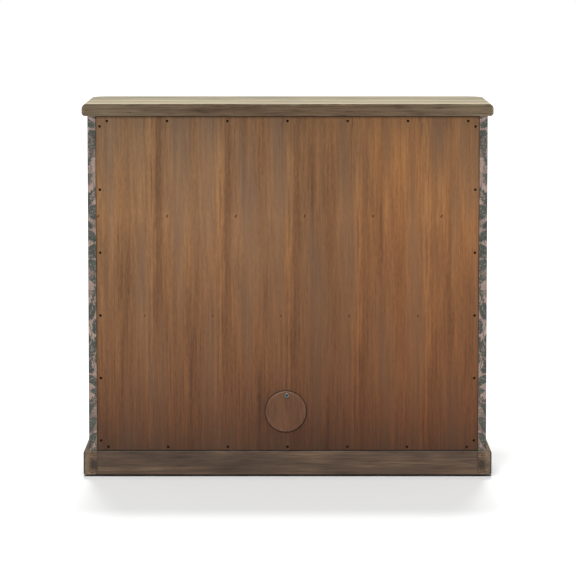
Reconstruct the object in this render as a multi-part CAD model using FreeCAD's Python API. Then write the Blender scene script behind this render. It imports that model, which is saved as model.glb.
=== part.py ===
import FreeCAD
import Part
import math
import os

from FreeCAD import Vector

# Storage cabinet with two drawers over two doors, seen in its frame as follows: +Z is up, the doors
# and drawers face -Y, the screwed back panel faces +Y, and the origin is on the floor under the middle
# of the cabinet's bounding box. All lengths are in millimetres. Left and right are as seen from the front.

# Carcass, the box of side panels, bottom and rails that everything hangs on
CARCASS_WIDTH = 988.0
CARCASS_DEPTH = 414.0
CARCASS_HEIGHT = 834.0
SIDE_THICKNESS = 20.0
SIDE_EDGE_EASE = 1.0
HOUSING_DEPTH = 6.0
HOUSING_SETBACK = 12.0
BOTTOM_THICKNESS = 20.0
BOTTOM_RAIL_HEIGHT = 34.0
BOTTOM_RAIL_THICKNESS = 20.0
TOP_RAIL_HEIGHT = 20.0
TOP_RAIL_DEPTH = 60.0
DECK_THICKNESS = 20.0
PARTITION_THICKNESS = 20.0
CLEAT_WIDTH = 20.0
CLEAT_DEPTH = 18.0

# Top panel
TOP_THICKNESS = 30.0
TOP_SIDE_OVERHANG = 14.0
TOP_FRONT_OVERHANG = 20.0
TOP_BACK_OVERHANG = 4.0
TOP_CORNER_ROUND = 50.0
TOP_UPPER_ROUND = 12.0
TOP_LOWER_ROUND = 8.0

# Plinth moulding, its rear rail, glue blocks and floor glides
PLINTH_BODY_HEIGHT = 59.0
PLINTH_PROJECTION = 14.0
PLINTH_LEDGE_WIDTH = 21.0
PLINTH_LIP_RISE = 26.0
PLINTH_LIP_FLAT = 1.5
PLINTH_BEVEL_HEIGHT = 30.0
PLINTH_FOOT_EASE = 1.5
REAR_RAIL_THICKNESS = 20.0
REAR_RAIL_EASE = 2.0
GLUE_BLOCK_LEG = 60.0
GLUE_BLOCK_HEIGHT = 50.0
GLIDE_RADIUS = 12.0
GLIDE_HEIGHT = 5.0
GLIDE_CHAMFER = 1.0
GLIDE_END_SETBACK = 45.0

# Back panel and the wood screws round its edge
BACK_THICKNESS = 9.0
BACK_RECESS = 3.0
BACK_SIDE_GAP = 1.0
BACK_END_GAP = 2.0
SCREW_TOP_INSET = 10.5
SCREW_BOTTOM_INSET = 8.0
SCREW_SIDE_INSET = 9.0
SCREW_ROW_END_INSET = 27.0
SCREW_COLUMN_END_INSET = 24.0
SCREW_ROW_COUNT = 7
SCREW_COLUMN_COUNT = 6
SCREW_HEAD_RADIUS = 3.2
SCREW_HEAD_HEIGHT = 2.0
SCREW_SHANK_RADIUS = 1.75
SCREW_LENGTH = 22.0
SCREW_TIP_LENGTH = 4.0
SCREW_SINK = 0.6
SCREW_CLEARANCE = 0.1
SCREW_RECESS_SPAN = 3.8
SCREW_RECESS_WIDTH = 0.9
SCREW_RECESS_DEPTH = 1.3

# Cable port in the back panel and the disc that swings over it
PORT_RADIUS = 32.0
PORT_CENTRE_HEIGHT = 99.0
PORT_SIDE_OFFSET = 1.7
COVER_RADIUS = 50.5
COVER_THICKNESS = 6.0
COVER_EDGE_ROUND = 2.0
COVER_GAP = 0.3
COVER_HANG_OFFSET = 2.8
PIVOT_INSET = 9.6
PIVOT_RADIUS = 2.2
PIVOT_CLEARANCE = 0.05
PIVOT_BITE = 7.0
PIVOT_HEAD_RADIUS = 5.6
PIVOT_HEAD_HEIGHT = 2.6
PIVOT_HEAD_ROUND = 1.2
PIVOT_HEAD_GAP = 0.2
PIVOT_RECESS_SPAN = 5.4
PIVOT_RECESS_WIDTH = 1.3
PIVOT_RECESS_DEPTH = 1.7

# Drawers: face, dovetailed box and floor
DRAWER_FACE_HEIGHT = 150.0
DRAWER_FACE_THICKNESS = 20.0
DRAWER_GAP = 2.0
FRONT_EDGE_EASE = 1.5
BOX_HEIGHT = 110.0
BOX_WALL = 12.0
BOX_LIFT = 8.0
BOX_REAR_CLEARANCE = 29.0
BOX_FLOOR_THICKNESS = 6.0
BOX_FLOOR_LIFT = 10.0
BOX_FLOOR_TONGUE = 5.5
BOX_GROOVE_CLEARANCE = 0.2
TAIL_COUNT = 3
TAIL_WIDTH_SHARE = 0.62
TAIL_SLOPE_SHARE = 1.0 / 7.0

# Telescopic drawer slides: three nested channels with ball retainers between them
SLIDE_THICKNESS = 12.7
SLIDE_HEIGHT = 45.0
SLIDE_WALL = 1.2
SLIDE_BALL_SPACE = 3.0
SLIDE_RUNNING_GAP = 0.3
SLIDE_WEB_GAP = 1.2
SLIDE_TIP_GAP = 0.5
SLIDE_FRONT_SETBACK = 3.0
RETAINER_EDGE_SETBACK = 1.5
RETAINER_LENGTH_SHARE = 0.48

# Doors, butt hinges and magnetic catches
DOOR_THICKNESS = 20.0
DOOR_GAP = 2.5
HINGE_HEIGHT = 64.0
HINGE_LEAF_WIDTH = 17.0
HINGE_LEAF_GAP = 0.3
HINGE_BARREL_RADIUS = 3.0
HINGE_BARREL_STANDOFF = 0.2
HINGE_KNUCKLE_GAP = 0.3
HINGE_PIN_RADIUS = 1.5
HINGE_PIN_CLEARANCE = 0.05
HINGE_PIN_HEAD_HEIGHT = 2.4
HINGE_END_DISTANCE = 72.0
CATCH_LENGTH = 46.0
CATCH_DEPTH = 15.0
CATCH_HEIGHT = 13.0
CATCH_EDGE_EASE = 1.5
CATCH_GAP = 0.3
CATCH_MEETING_OFFSET = 48.0
STRIKE_LENGTH = 38.0
STRIKE_HEIGHT = 15.0
STRIKE_THICKNESS = 1.2
STRIKE_CORNER_ROUND = 2.0
STRIKE_TOP_INSET = 1.0

# Turned knobs and the machine screws that hold them
KNOB_PROJECTION = 26.0
KNOB_BASE_RADIUS = 9.0
KNOB_BASE_HEIGHT = 2.5
KNOB_NECK_RADIUS = 5.5
KNOB_NECK_HEIGHT = 8.5
KNOB_HEAD_RADIUS = 15.0
KNOB_RIM_HEIGHT = 17.0
KNOB_DOOR_INSET = 42.0
KNOB_DOOR_HEIGHT_SHARE = 0.6
KNOB_SCREW_RADIUS = 2.0
KNOB_SCREW_CLEARANCE = 0.1
KNOB_SCREW_BITE = 10.0
KNOB_SCREW_HEAD_RADIUS = 4.0
KNOB_SCREW_HEAD_HEIGHT = 2.4

# Adjustable shelf, its spoon pins and the rows of holes that they fit
SHELF_THICKNESS = 18.0
SHELF_SIDE_GAP = 1.0
SHELF_FRONT_SETBACK = 12.0
SHELF_REAR_GAP = 2.0
SHELF_HOLE_COUNT = 9
SHELF_HOLE_PITCH = 32.0
SHELF_HOLE_FIRST_HEIGHT = 180.0
SHELF_HOLE_DEPTH = 10.0
SHELF_HOLE_EDGE_INSET = 45.0
SHELF_HOLE_IN_USE = 4
SHELF_PIN_RADIUS = 2.5
SHELF_PIN_CLEARANCE = 0.05
SHELF_PIN_SHANK = 9.0
SHELF_SPOON_LENGTH = 11.0
SHELF_SPOON_WIDTH = 9.0
SHELF_SPOON_THICKNESS = 2.0
SHELF_SPOON_ROUND = 2.5

# Cuts that pass right through a piece run past it by this much, and edges are told apart to within this
OVERRUN = 1.0
TOUCH = 0.001

# Places worked out from the sizes above
HALF_WIDTH = CARCASS_WIDTH / 2
INNER_HALF = HALF_WIDTH - SIDE_THICKNESS
BACK_REACH = max(
    TOP_BACK_OVERHANG,
    COVER_GAP + COVER_THICKNESS + PIVOT_HEAD_GAP + PIVOT_HEAD_HEIGHT - BACK_RECESS,
)
FRONT_REACH = max(KNOB_PROJECTION, TOP_FRONT_OVERHANG, PLINTH_PROJECTION)
BACK_Y = (CARCASS_DEPTH + FRONT_REACH - BACK_REACH) / 2
FRONT_Y = BACK_Y - CARCASS_DEPTH
PANEL_OUTER_Y = BACK_Y - BACK_RECESS
PANEL_INNER_Y = PANEL_OUTER_Y - BACK_THICKNESS
CLEAT_FRONT_Y = PANEL_INNER_Y - CLEAT_DEPTH
DOOR_REAR_Y = FRONT_Y + DOOR_THICKNESS
PLINTH_TOP = GLIDE_HEIGHT + PLINTH_BODY_HEIGHT
CARCASS_TOP = PLINTH_TOP + CARCASS_HEIGHT
FLOOR_TOP = PLINTH_TOP + BOTTOM_THICKNESS
RAIL_UNDERSIDE = CARCASS_TOP - TOP_RAIL_HEIGHT
DECK_TOP = RAIL_UNDERSIDE - DRAWER_FACE_HEIGHT - DRAWER_GAP - DRAWER_GAP
DECK_UNDERSIDE = DECK_TOP - DECK_THICKNESS
DOOR_OPENING_BOTTOM = PLINTH_TOP + BOTTOM_RAIL_HEIGHT
DOOR_BOTTOM = DOOR_OPENING_BOTTOM + DOOR_GAP
DOOR_TOP = DECK_UNDERSIDE - DOOR_GAP
DOOR_HINGE_X = INNER_HALF - DOOR_GAP
DOOR_MEETING_X = DOOR_GAP / 2
HINGE_AXIS_X = INNER_HALF - DOOR_GAP / 2
HINGE_AXIS_Y = FRONT_Y - HINGE_BARREL_RADIUS - HINGE_BARREL_STANDOFF
HINGE_LEAF_THICKNESS = (DOOR_GAP - HINGE_LEAF_GAP) / 2
PANEL_HALF = INNER_HALF - BACK_SIDE_GAP
PANEL_BOTTOM = PLINTH_TOP + BACK_END_GAP
PANEL_TOP = CARCASS_TOP - BACK_END_GAP
PORT_Z = PLINTH_TOP + PORT_CENTRE_HEIGHT
PIVOT_Z = PORT_Z + COVER_RADIUS - PIVOT_INSET
COVER_X = PORT_SIDE_OFFSET + COVER_HANG_OFFSET
COVER_FRONT_Y = PANEL_OUTER_Y + COVER_GAP
COVER_REAR_Y = COVER_FRONT_Y + COVER_THICKNESS
DRAWER_BAY = INNER_HALF - PARTITION_THICKNESS / 2
DRAWER_CENTRE = (INNER_HALF + PARTITION_THICKNESS / 2) / 2
BOX_FRONT_Y = FRONT_Y + DRAWER_FACE_THICKNESS
BOX_REAR_Y = PANEL_INNER_Y - BOX_REAR_CLEARANCE
BOX_BOTTOM = DECK_TOP + BOX_LIFT
BOX_TOP = BOX_BOTTOM + BOX_HEIGHT
BOX_HALF = DRAWER_BAY / 2 - SLIDE_THICKNESS
SLIDE_FRONT_Y = BOX_FRONT_Y + SLIDE_FRONT_SETBACK
SLIDE_LENGTH = BOX_REAR_Y - SLIDE_FRONT_Y
SLIDE_Z = (BOX_BOTTOM + BOX_TOP) / 2
DRAWER_KNOB_Z = (DECK_TOP + RAIL_UNDERSIDE) / 2
DOOR_KNOB_X = DOOR_MEETING_X + KNOB_DOOR_INSET
DOOR_KNOB_Z = DOOR_BOTTOM + KNOB_DOOR_HEIGHT_SHARE * (DOOR_TOP - DOOR_BOTTOM)
SHELF_FRONT_Y = DOOR_REAR_Y + SHELF_FRONT_SETBACK
SHELF_REAR_Y = CLEAT_FRONT_Y - SHELF_REAR_GAP
SHELF_PIN_Z = FLOOR_TOP + SHELF_HOLE_FIRST_HEIGHT + SHELF_HOLE_IN_USE * SHELF_HOLE_PITCH
SHELF_UNDERSIDE = SHELF_PIN_Z + SHELF_PIN_RADIUS

ORIGIN = Vector(0, 0, 0)
X_AXIS = Vector(1, 0, 0)
Y_AXIS = Vector(0, 1, 0)
Z_AXIS = Vector(0, 0, 1)
INTO_CABINET = Vector(0, -1, 0)


def block(x0, x1, y0, y1, z0, z1):
    """A box between two corners."""
    return Part.makeBox(x1 - x0, y1 - y0, z1 - z0, Vector(x0, y0, z0))


def prism(points, reach):
    """The closed outline through the points, drawn out along the vector reach."""
    return Part.Face(Part.makePolygon(list(points) + [points[0]])).extrude(reach)


def turned(outline, axis):
    """A wire in the XZ plane turned once about Z, then stood along the axis from the origin."""
    solid = Part.Face(outline).revolve(ORIGIN, Z_AXIS, 360)
    turn = FreeCAD.Rotation(Z_AXIS, axis)
    solid.Placement = FreeCAD.Placement(ORIGIN, turn)
    return solid


def profile(points):
    """A closed wire through (radius, height) pairs."""
    corners = [Vector(radius, 0, height) for radius, height in points]
    return Part.makePolygon(corners + [corners[0]])


def moved(shape, x, y, z):
    """A copy of the shape carried from the origin to a place."""
    copy = shape.copy()
    copy.translate(Vector(x, y, z))
    return copy


def mirrored(shape):
    """The same piece for the other side of the cabinet."""
    return shape.mirror(ORIGIN, X_AXIS)


def rounded(shape, radius, test):
    """The shape with the edges that pass the test rounded off."""
    return shape.makeFillet(radius, [edge for edge in shape.Edges if test(edge.BoundBox)])


def group(solids):
    """Separate solids kept as one node."""
    return Part.makeCompound(solids)


def near(a, b):
    """True where two places are the same."""
    return abs(a - b) < TOUCH


def spread(first, last, count):
    """Evenly spaced places from the first to the last."""
    step = (last - first) / (count - 1)
    return [first + step * index for index in range(count)]


# Top panel


def make_top_panel():
    """The slab, square at the back and rounded over on its front and ends."""
    half = HALF_WIDTH + TOP_SIDE_OVERHANG
    front = FRONT_Y - TOP_FRONT_OVERHANG
    rear = BACK_Y + TOP_BACK_OVERHANG
    upper = CARCASS_TOP + TOP_THICKNESS
    slab = block(-half, half, front, rear, CARCASS_TOP, upper)
    slab = rounded(slab, TOP_CORNER_ROUND, lambda box: near(box.YMax, front) and near(box.XMin, box.XMax))
    slab = rounded(slab, TOP_UPPER_ROUND, lambda box: near(box.ZMin, upper) and not near(box.YMin, rear))
    return rounded(slab, TOP_LOWER_ROUND, lambda box: near(box.ZMax, CARCASS_TOP) and not near(box.YMin, rear))


# Plinth


def plinth_outline():
    """The moulding's section as (distance out from the carcass face, height) pairs."""
    bevel_foot = PLINTH_TOP + PLINTH_LIP_RISE - PLINTH_BEVEL_HEIGHT
    lip_top = PLINTH_TOP + PLINTH_LIP_RISE
    return [
        (-PLINTH_LEDGE_WIDTH, GLIDE_HEIGHT),
        (PLINTH_PROJECTION - PLINTH_FOOT_EASE, GLIDE_HEIGHT),
        (PLINTH_PROJECTION, GLIDE_HEIGHT + PLINTH_FOOT_EASE),
        (PLINTH_PROJECTION, bevel_foot),
        (PLINTH_LIP_FLAT, lip_top),
        (0, lip_top),
        (0, PLINTH_TOP),
        (-PLINTH_LEDGE_WIDTH, PLINTH_TOP),
    ]


def plan_prism(corners):
    """A plan outline drawn up past the plinth, to cut the moulding's mitres."""
    points = [Vector(x, y, 0) for x, y in corners]
    return prism(points, Vector(0, 0, PLINTH_TOP + PLINTH_LIP_RISE + OVERRUN))


def make_right_plinth_rail():
    """Side moulding: mitred at the front, its end grain showing at the back."""
    outer_x = HALF_WIDTH + PLINTH_PROJECTION
    inner_x = HALF_WIDTH - PLINTH_LEDGE_WIDTH
    outer_y = FRONT_Y - PLINTH_PROJECTION
    inner_y = FRONT_Y + PLINTH_LEDGE_WIDTH
    section = [Vector(HALF_WIDTH + out, outer_y, height) for out, height in plinth_outline()]
    bar = prism(section, Vector(0, BACK_Y - outer_y, 0))
    return bar.common(plan_prism([(outer_x, outer_y), (outer_x, BACK_Y), (inner_x, BACK_Y), (inner_x, inner_y)]))


def make_front_plinth_rail():
    """Front moulding, mitred at both ends."""
    outer_x = HALF_WIDTH + PLINTH_PROJECTION
    inner_x = HALF_WIDTH - PLINTH_LEDGE_WIDTH
    outer_y = FRONT_Y - PLINTH_PROJECTION
    inner_y = FRONT_Y + PLINTH_LEDGE_WIDTH
    section = [Vector(-outer_x, FRONT_Y - out, height) for out, height in plinth_outline()]
    bar = prism(section, Vector(outer_x + outer_x, 0, 0))
    return bar.common(
        plan_prism([(-outer_x, outer_y), (outer_x, outer_y), (inner_x, inner_y), (-inner_x, inner_y)])
    )


def make_rear_plinth_rail():
    """Plain rail between the side mouldings, with its upper rear edge eased."""
    half = HALF_WIDTH - PLINTH_LEDGE_WIDTH
    rail = block(-half, half, BACK_Y - REAR_RAIL_THICKNESS, BACK_Y, GLIDE_HEIGHT, PLINTH_TOP)
    return rounded(rail, REAR_RAIL_EASE, lambda box: near(box.YMin, BACK_Y) and near(box.ZMin, PLINTH_TOP))


def make_plinth_corner_blocks():
    """A three-cornered glue block in each inside corner of the plinth."""
    corner_x = HALF_WIDTH - PLINTH_LEDGE_WIDTH
    lower = PLINTH_TOP - GLUE_BLOCK_HEIGHT
    blocks = []
    for side in (-1, 1):
        for corner_y, inward in (
            (FRONT_Y + PLINTH_LEDGE_WIDTH, GLUE_BLOCK_LEG),
            (BACK_Y - REAR_RAIL_THICKNESS, -GLUE_BLOCK_LEG),
        ):
            outline = [
                Vector(side * corner_x, corner_y, lower),
                Vector(side * (corner_x - GLUE_BLOCK_LEG), corner_y, lower),
                Vector(side * corner_x, corner_y + inward, lower),
            ]
            blocks.append(prism(outline, Vector(0, 0, GLUE_BLOCK_HEIGHT)))
    return group(blocks)


def glide_places():
    """The four (x, y) places of the floor glides, under the side mouldings."""
    middle = HALF_WIDTH + (PLINTH_PROJECTION - PLINTH_LEDGE_WIDTH) / 2
    front = FRONT_Y - PLINTH_PROJECTION + GLIDE_END_SETBACK
    return [(side * middle, y) for side in (-1, 1) for y in (front, BACK_Y - GLIDE_END_SETBACK)]


def make_floor_glides():
    """Round nail-on glides that lift the plinth clear of the floor."""
    outline = profile(
        [
            (0, 0),
            (GLIDE_RADIUS - GLIDE_CHAMFER, 0),
            (GLIDE_RADIUS, GLIDE_CHAMFER),
            (GLIDE_RADIUS, GLIDE_HEIGHT),
            (0, GLIDE_HEIGHT),
        ]
    )
    glide = turned(outline, Z_AXIS)
    return group([moved(glide, x, y, 0) for x, y in glide_places()])


# Carcass


def shelf_hole_rows():
    """The depths of the front and rear rows of shelf holes."""
    return (SHELF_FRONT_Y + SHELF_HOLE_EDGE_INSET, SHELF_REAR_Y - SHELF_HOLE_EDGE_INSET)


def make_right_side_panel():
    """Side board with housings for the bottom and the deck and two rows of shelf holes."""
    board = block(INNER_HALF, HALF_WIDTH, FRONT_Y, BACK_Y, PLINTH_TOP, CARCASS_TOP)
    board = rounded(board, SIDE_EDGE_EASE, lambda box: near(box.XMin, HALF_WIDTH) and near(box.YMin, box.YMax))
    housed = INNER_HALF + HOUSING_DEPTH
    bottom_front = FRONT_Y + BOTTOM_RAIL_THICKNESS
    cuts = [
        block(INNER_HALF, housed, bottom_front, PANEL_INNER_Y, PLINTH_TOP, FLOOR_TOP),
        block(INNER_HALF, housed, FRONT_Y + HOUSING_SETBACK, CLEAT_FRONT_Y, DECK_UNDERSIDE, DECK_TOP),
    ]
    radius = SHELF_PIN_RADIUS + SHELF_PIN_CLEARANCE
    for y in shelf_hole_rows():
        for row in range(SHELF_HOLE_COUNT):
            z = FLOOR_TOP + SHELF_HOLE_FIRST_HEIGHT + row * SHELF_HOLE_PITCH
            cuts.append(Part.makeCylinder(radius, SHELF_HOLE_DEPTH, Vector(INNER_HALF, y, z), X_AXIS))
    return board.cut(cuts)


def make_bottom_panel():
    """Floor of the cupboard, let into the side panels."""
    half = INNER_HALF + HOUSING_DEPTH
    front = FRONT_Y + BOTTOM_RAIL_THICKNESS
    return block(-half, half, front, PANEL_INNER_Y, PLINTH_TOP, FLOOR_TOP).cut(screw_holes())


def make_bottom_front_rail():
    """Rail under the doors that hides the front edge of the floor."""
    rear = FRONT_Y + BOTTOM_RAIL_THICKNESS
    return block(-INNER_HALF, INNER_HALF, FRONT_Y, rear, PLINTH_TOP, DOOR_OPENING_BOTTOM)


def make_front_top_rail():
    """Flat rail over the drawers."""
    rear = FRONT_Y + TOP_RAIL_DEPTH
    return block(-INNER_HALF, INNER_HALF, FRONT_Y, rear, RAIL_UNDERSIDE, CARCASS_TOP)


def make_rear_top_rail():
    """Flat rail at the back that takes the top row of screws."""
    front = PANEL_INNER_Y - TOP_RAIL_DEPTH
    return block(-INNER_HALF, INNER_HALF, front, PANEL_INNER_Y, RAIL_UNDERSIDE, CARCASS_TOP).cut(screw_holes())


def make_drawer_deck():
    """Board under the drawers, with a tongue at each end that stops short of the front edge."""
    board = block(-INNER_HALF, INNER_HALF, FRONT_Y, CLEAT_FRONT_Y, DECK_UNDERSIDE, DECK_TOP)
    half = INNER_HALF + HOUSING_DEPTH
    tongues = block(-half, half, FRONT_Y + HOUSING_SETBACK, CLEAT_FRONT_Y, DECK_UNDERSIDE, DECK_TOP)
    return board.fuse(tongues).removeSplitter()


def make_drawer_partition():
    """Upright board between the two drawers."""
    half = PARTITION_THICKNESS / 2
    return block(-half, half, FRONT_Y, CLEAT_FRONT_Y, DECK_TOP, RAIL_UNDERSIDE)


def make_right_back_cleat():
    """Batten inside the side panel that takes a column of back screws."""
    inner = INNER_HALF - CLEAT_WIDTH
    batten = block(inner, INNER_HALF, CLEAT_FRONT_Y, PANEL_INNER_Y, FLOOR_TOP, RAIL_UNDERSIDE)
    return batten.cut(screw_holes())


# Back panel, its screws and the cable port


def screw_places():
    """The (x, z) places of the screws: a row along each end and a column down each side."""
    places = []
    row_end = PANEL_HALF - SCREW_ROW_END_INSET
    for z in (PANEL_TOP - SCREW_TOP_INSET, PANEL_BOTTOM + SCREW_BOTTOM_INSET):
        places += [(x, z) for x in spread(-row_end, row_end, SCREW_ROW_COUNT)]
    lowest = PANEL_BOTTOM + SCREW_COLUMN_END_INSET
    highest = PANEL_TOP - SCREW_COLUMN_END_INSET
    for side in (-1, 1):
        x = side * (PANEL_HALF - SCREW_SIDE_INSET)
        places += [(x, z) for z in spread(lowest, highest, SCREW_COLUMN_COUNT)]
    return places


def screw_outline(clearance, mouth):
    """A countersunk screw's half section, grown by a clearance and with its head end drawn out to the mouth."""
    head = SCREW_HEAD_RADIUS + clearance
    shank = SCREW_SHANK_RADIUS + clearance
    neck = SCREW_HEAD_HEIGHT + clearance
    return profile(
        [
            (0, -mouth),
            (head, -mouth),
            (head, clearance),
            (shank, neck),
            (shank, SCREW_LENGTH - SCREW_TIP_LENGTH),
            (0, SCREW_LENGTH + clearance),
        ]
    )


def screw_holes():
    """The countersunk holes for all the back screws, as cutting tools."""
    tool = turned(screw_outline(SCREW_CLEARANCE, SCREW_SINK + OVERRUN), INTO_CABINET)
    return [moved(tool, x, PANEL_OUTER_Y - SCREW_SINK, z) for x, z in screw_places()]


def cross_recess(span, width, depth):
    """The cutting tool for a driver's cross slot, going into the cabinet from the origin."""
    upright = block(-width / 2, width / 2, -depth, OVERRUN, -span / 2, span / 2)
    level = block(-span / 2, span / 2, -depth, OVERRUN, -width / 2, width / 2)
    return upright.fuse(level)


def make_back_panel_screws():
    """Countersunk cross-head wood screws, their heads a little below the panel's face."""
    recess = cross_recess(SCREW_RECESS_SPAN, SCREW_RECESS_WIDTH, SCREW_RECESS_DEPTH)
    screw = turned(screw_outline(0, 0), INTO_CABINET).cut(recess)
    return group([moved(screw, x, PANEL_OUTER_Y - SCREW_SINK, z) for x, z in screw_places()])


def make_back_panel():
    """Veneered sheet between the side panels, with the screw holes and the cable port."""
    sheet = block(-PANEL_HALF, PANEL_HALF, PANEL_INNER_Y, PANEL_OUTER_Y, PANEL_BOTTOM, PANEL_TOP)
    port = Part.makeCylinder(PORT_RADIUS, BACK_THICKNESS, Vector(PORT_SIDE_OFFSET, PANEL_OUTER_Y, PORT_Z), INTO_CABINET)
    bite = Part.makeCylinder(
        PIVOT_RADIUS + PIVOT_CLEARANCE, PIVOT_BITE, Vector(PORT_SIDE_OFFSET, PANEL_OUTER_Y, PIVOT_Z), INTO_CABINET
    )
    return sheet.cut(screw_holes() + [port, bite])


def make_cable_cover():
    """Disc that swings aside from the port on its pivot screw, whose grip holds it a little off plumb."""
    disc = Part.makeCylinder(COVER_RADIUS, COVER_THICKNESS, Vector(COVER_X, COVER_FRONT_Y, PORT_Z), Y_AXIS)
    disc = rounded(disc, COVER_EDGE_ROUND, lambda box: near(box.YMin, COVER_REAR_Y) and near(box.YMax, COVER_REAR_Y))
    hole = Part.makeCylinder(
        PIVOT_RADIUS + PIVOT_CLEARANCE,
        COVER_THICKNESS + OVERRUN + OVERRUN,
        Vector(PORT_SIDE_OFFSET, COVER_FRONT_Y - OVERRUN, PIVOT_Z),
        Y_AXIS,
    )
    return disc.cut(hole)


def make_cover_pivot_screw():
    """Cross-head pan screw fixed in the back panel, on which the disc turns."""
    head_y = COVER_REAR_Y + PIVOT_HEAD_GAP
    tip_y = PANEL_OUTER_Y - PIVOT_BITE
    head = Part.makeCylinder(PIVOT_HEAD_RADIUS, PIVOT_HEAD_HEIGHT, Vector(PORT_SIDE_OFFSET, head_y, PIVOT_Z), Y_AXIS)
    crown_y = head_y + PIVOT_HEAD_HEIGHT
    head = rounded(head, PIVOT_HEAD_ROUND, lambda box: near(box.YMin, crown_y) and near(box.YMax, crown_y))
    shank = Part.makeCylinder(PIVOT_RADIUS, head_y - tip_y, Vector(PORT_SIDE_OFFSET, tip_y, PIVOT_Z), Y_AXIS)
    recess = cross_recess(PIVOT_RECESS_SPAN, PIVOT_RECESS_WIDTH, PIVOT_RECESS_DEPTH)
    return head.fuse(shank).removeSplitter().cut(moved(recess, PORT_SIDE_OFFSET, crown_y, PIVOT_Z))


# Shelf


def make_shelf():
    """Loose shelf that rests on four spoon pins."""
    half = INNER_HALF - SHELF_SIDE_GAP
    upper = SHELF_UNDERSIDE + SHELF_THICKNESS
    board = block(-half, half, SHELF_FRONT_Y, SHELF_REAR_Y, SHELF_UNDERSIDE, upper)
    return rounded(board, FRONT_EDGE_EASE, lambda box: near(box.YMax, SHELF_FRONT_Y) and near(box.ZMin, box.ZMax))


def make_shelf_pins():
    """Spoon pins: a round shank in the side panel and a flat tongue under the shelf."""
    shank_x = INNER_HALF + SHELF_PIN_SHANK
    tongue_x = INNER_HALF - SHELF_SPOON_LENGTH
    half = SHELF_SPOON_WIDTH / 2
    lower = SHELF_UNDERSIDE - SHELF_SPOON_THICKNESS
    tongue = block(tongue_x, INNER_HALF, -half, half, lower, SHELF_UNDERSIDE)
    tongue = rounded(tongue, SHELF_SPOON_ROUND, lambda box: near(box.XMax, tongue_x) and near(box.YMin, box.YMax))
    shank = Part.makeCylinder(
        SHELF_PIN_RADIUS, shank_x - tongue_x - SHELF_SPOON_ROUND, Vector(shank_x, 0, SHELF_PIN_Z), -X_AXIS
    )
    pin = tongue.fuse(shank).removeSplitter()
    right = [moved(pin, 0, y, 0) for y in shelf_hole_rows()]
    return group(right + [mirrored(pin) for pin in right])


# Knobs


def knob_outline():
    """Half section of a turned knob: base ring, waisted neck and domed head round a blind hole."""
    hole = KNOB_SCREW_RADIUS + KNOB_SCREW_CLEARANCE
    hole_end = KNOB_SCREW_BITE + KNOB_SCREW_CLEARANCE
    base_rim = Vector(KNOB_BASE_RADIUS, 0, KNOB_BASE_HEIGHT)
    head_rim = Vector(KNOB_HEAD_RADIUS, 0, KNOB_RIM_HEIGHT)
    crown = Vector(0, 0, KNOB_PROJECTION)
    rise = KNOB_PROJECTION - KNOB_RIM_HEIGHT
    ball = (KNOB_HEAD_RADIUS**2 + rise**2) / (2 * rise)
    half_angle = math.atan2(rise, KNOB_HEAD_RADIUS)
    shoulder = Vector(ball * math.sin(half_angle), 0, KNOB_PROJECTION - ball * (1 - math.cos(half_angle)))
    lines = [
        (Vector(0, 0, hole_end), Vector(hole, 0, hole_end)),
        (Vector(hole, 0, hole_end), Vector(hole, 0, 0)),
        (Vector(hole, 0, 0), Vector(KNOB_BASE_RADIUS, 0, 0)),
        (Vector(KNOB_BASE_RADIUS, 0, 0), base_rim),
        (crown, Vector(0, 0, hole_end)),
    ]
    neck = Part.Arc(base_rim, Vector(KNOB_NECK_RADIUS, 0, KNOB_NECK_HEIGHT), head_rim)
    dome = Part.Arc(head_rim, shoulder, crown)
    edges = [Part.LineSegment(start, end).toShape() for start, end in lines]
    return Part.Wire(Part.__sortEdges__(edges + [neck.toShape(), dome.toShape()]))


def make_knob(x, z):
    """Knob standing on the front face of a door or drawer."""
    return moved(turned(knob_outline(), INTO_CABINET), x, FRONT_Y, z)


def make_knob_screw(x, z, head_y):
    """Machine screw from behind, its head against the face at head_y and its end in the knob."""
    length = head_y - FRONT_Y + KNOB_SCREW_BITE
    outline = profile(
        [
            (0, -KNOB_SCREW_HEAD_HEIGHT),
            (KNOB_SCREW_HEAD_RADIUS, -KNOB_SCREW_HEAD_HEIGHT),
            (KNOB_SCREW_HEAD_RADIUS, 0),
            (KNOB_SCREW_RADIUS, 0),
            (KNOB_SCREW_RADIUS, length),
            (0, length),
        ]
    )
    return moved(turned(outline, INTO_CABINET), x, head_y, z)


def knob_hole(x, z, rear_y):
    """Cutting tool for the knob screw's hole, from in front of the face to behind rear_y."""
    radius = KNOB_SCREW_RADIUS + KNOB_SCREW_CLEARANCE
    length = rear_y - FRONT_Y + OVERRUN + OVERRUN
    return Part.makeCylinder(radius, length, Vector(x, FRONT_Y - OVERRUN, z), Y_AXIS)


# Drawers


def dovetails(x0, x1, root_y, end_y):
    """The tails at one end of a drawer side: wider at their ends than at their roots."""
    pitch = BOX_HEIGHT / TAIL_COUNT
    end_half = TAIL_WIDTH_SHARE * pitch / 2
    root_half = end_half - TAIL_SLOPE_SHARE * abs(end_y - root_y)
    tails = []
    for index in range(TAIL_COUNT):
        middle = BOX_BOTTOM + pitch * index + pitch / 2
        outline = [
            Vector(x0, root_y, middle - root_half),
            Vector(x0, end_y, middle - end_half),
            Vector(x0, end_y, middle + end_half),
            Vector(x0, root_y, middle + root_half),
        ]
        tails.append(prism(outline, Vector(x1 - x0, 0, 0)))
    return tails


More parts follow.
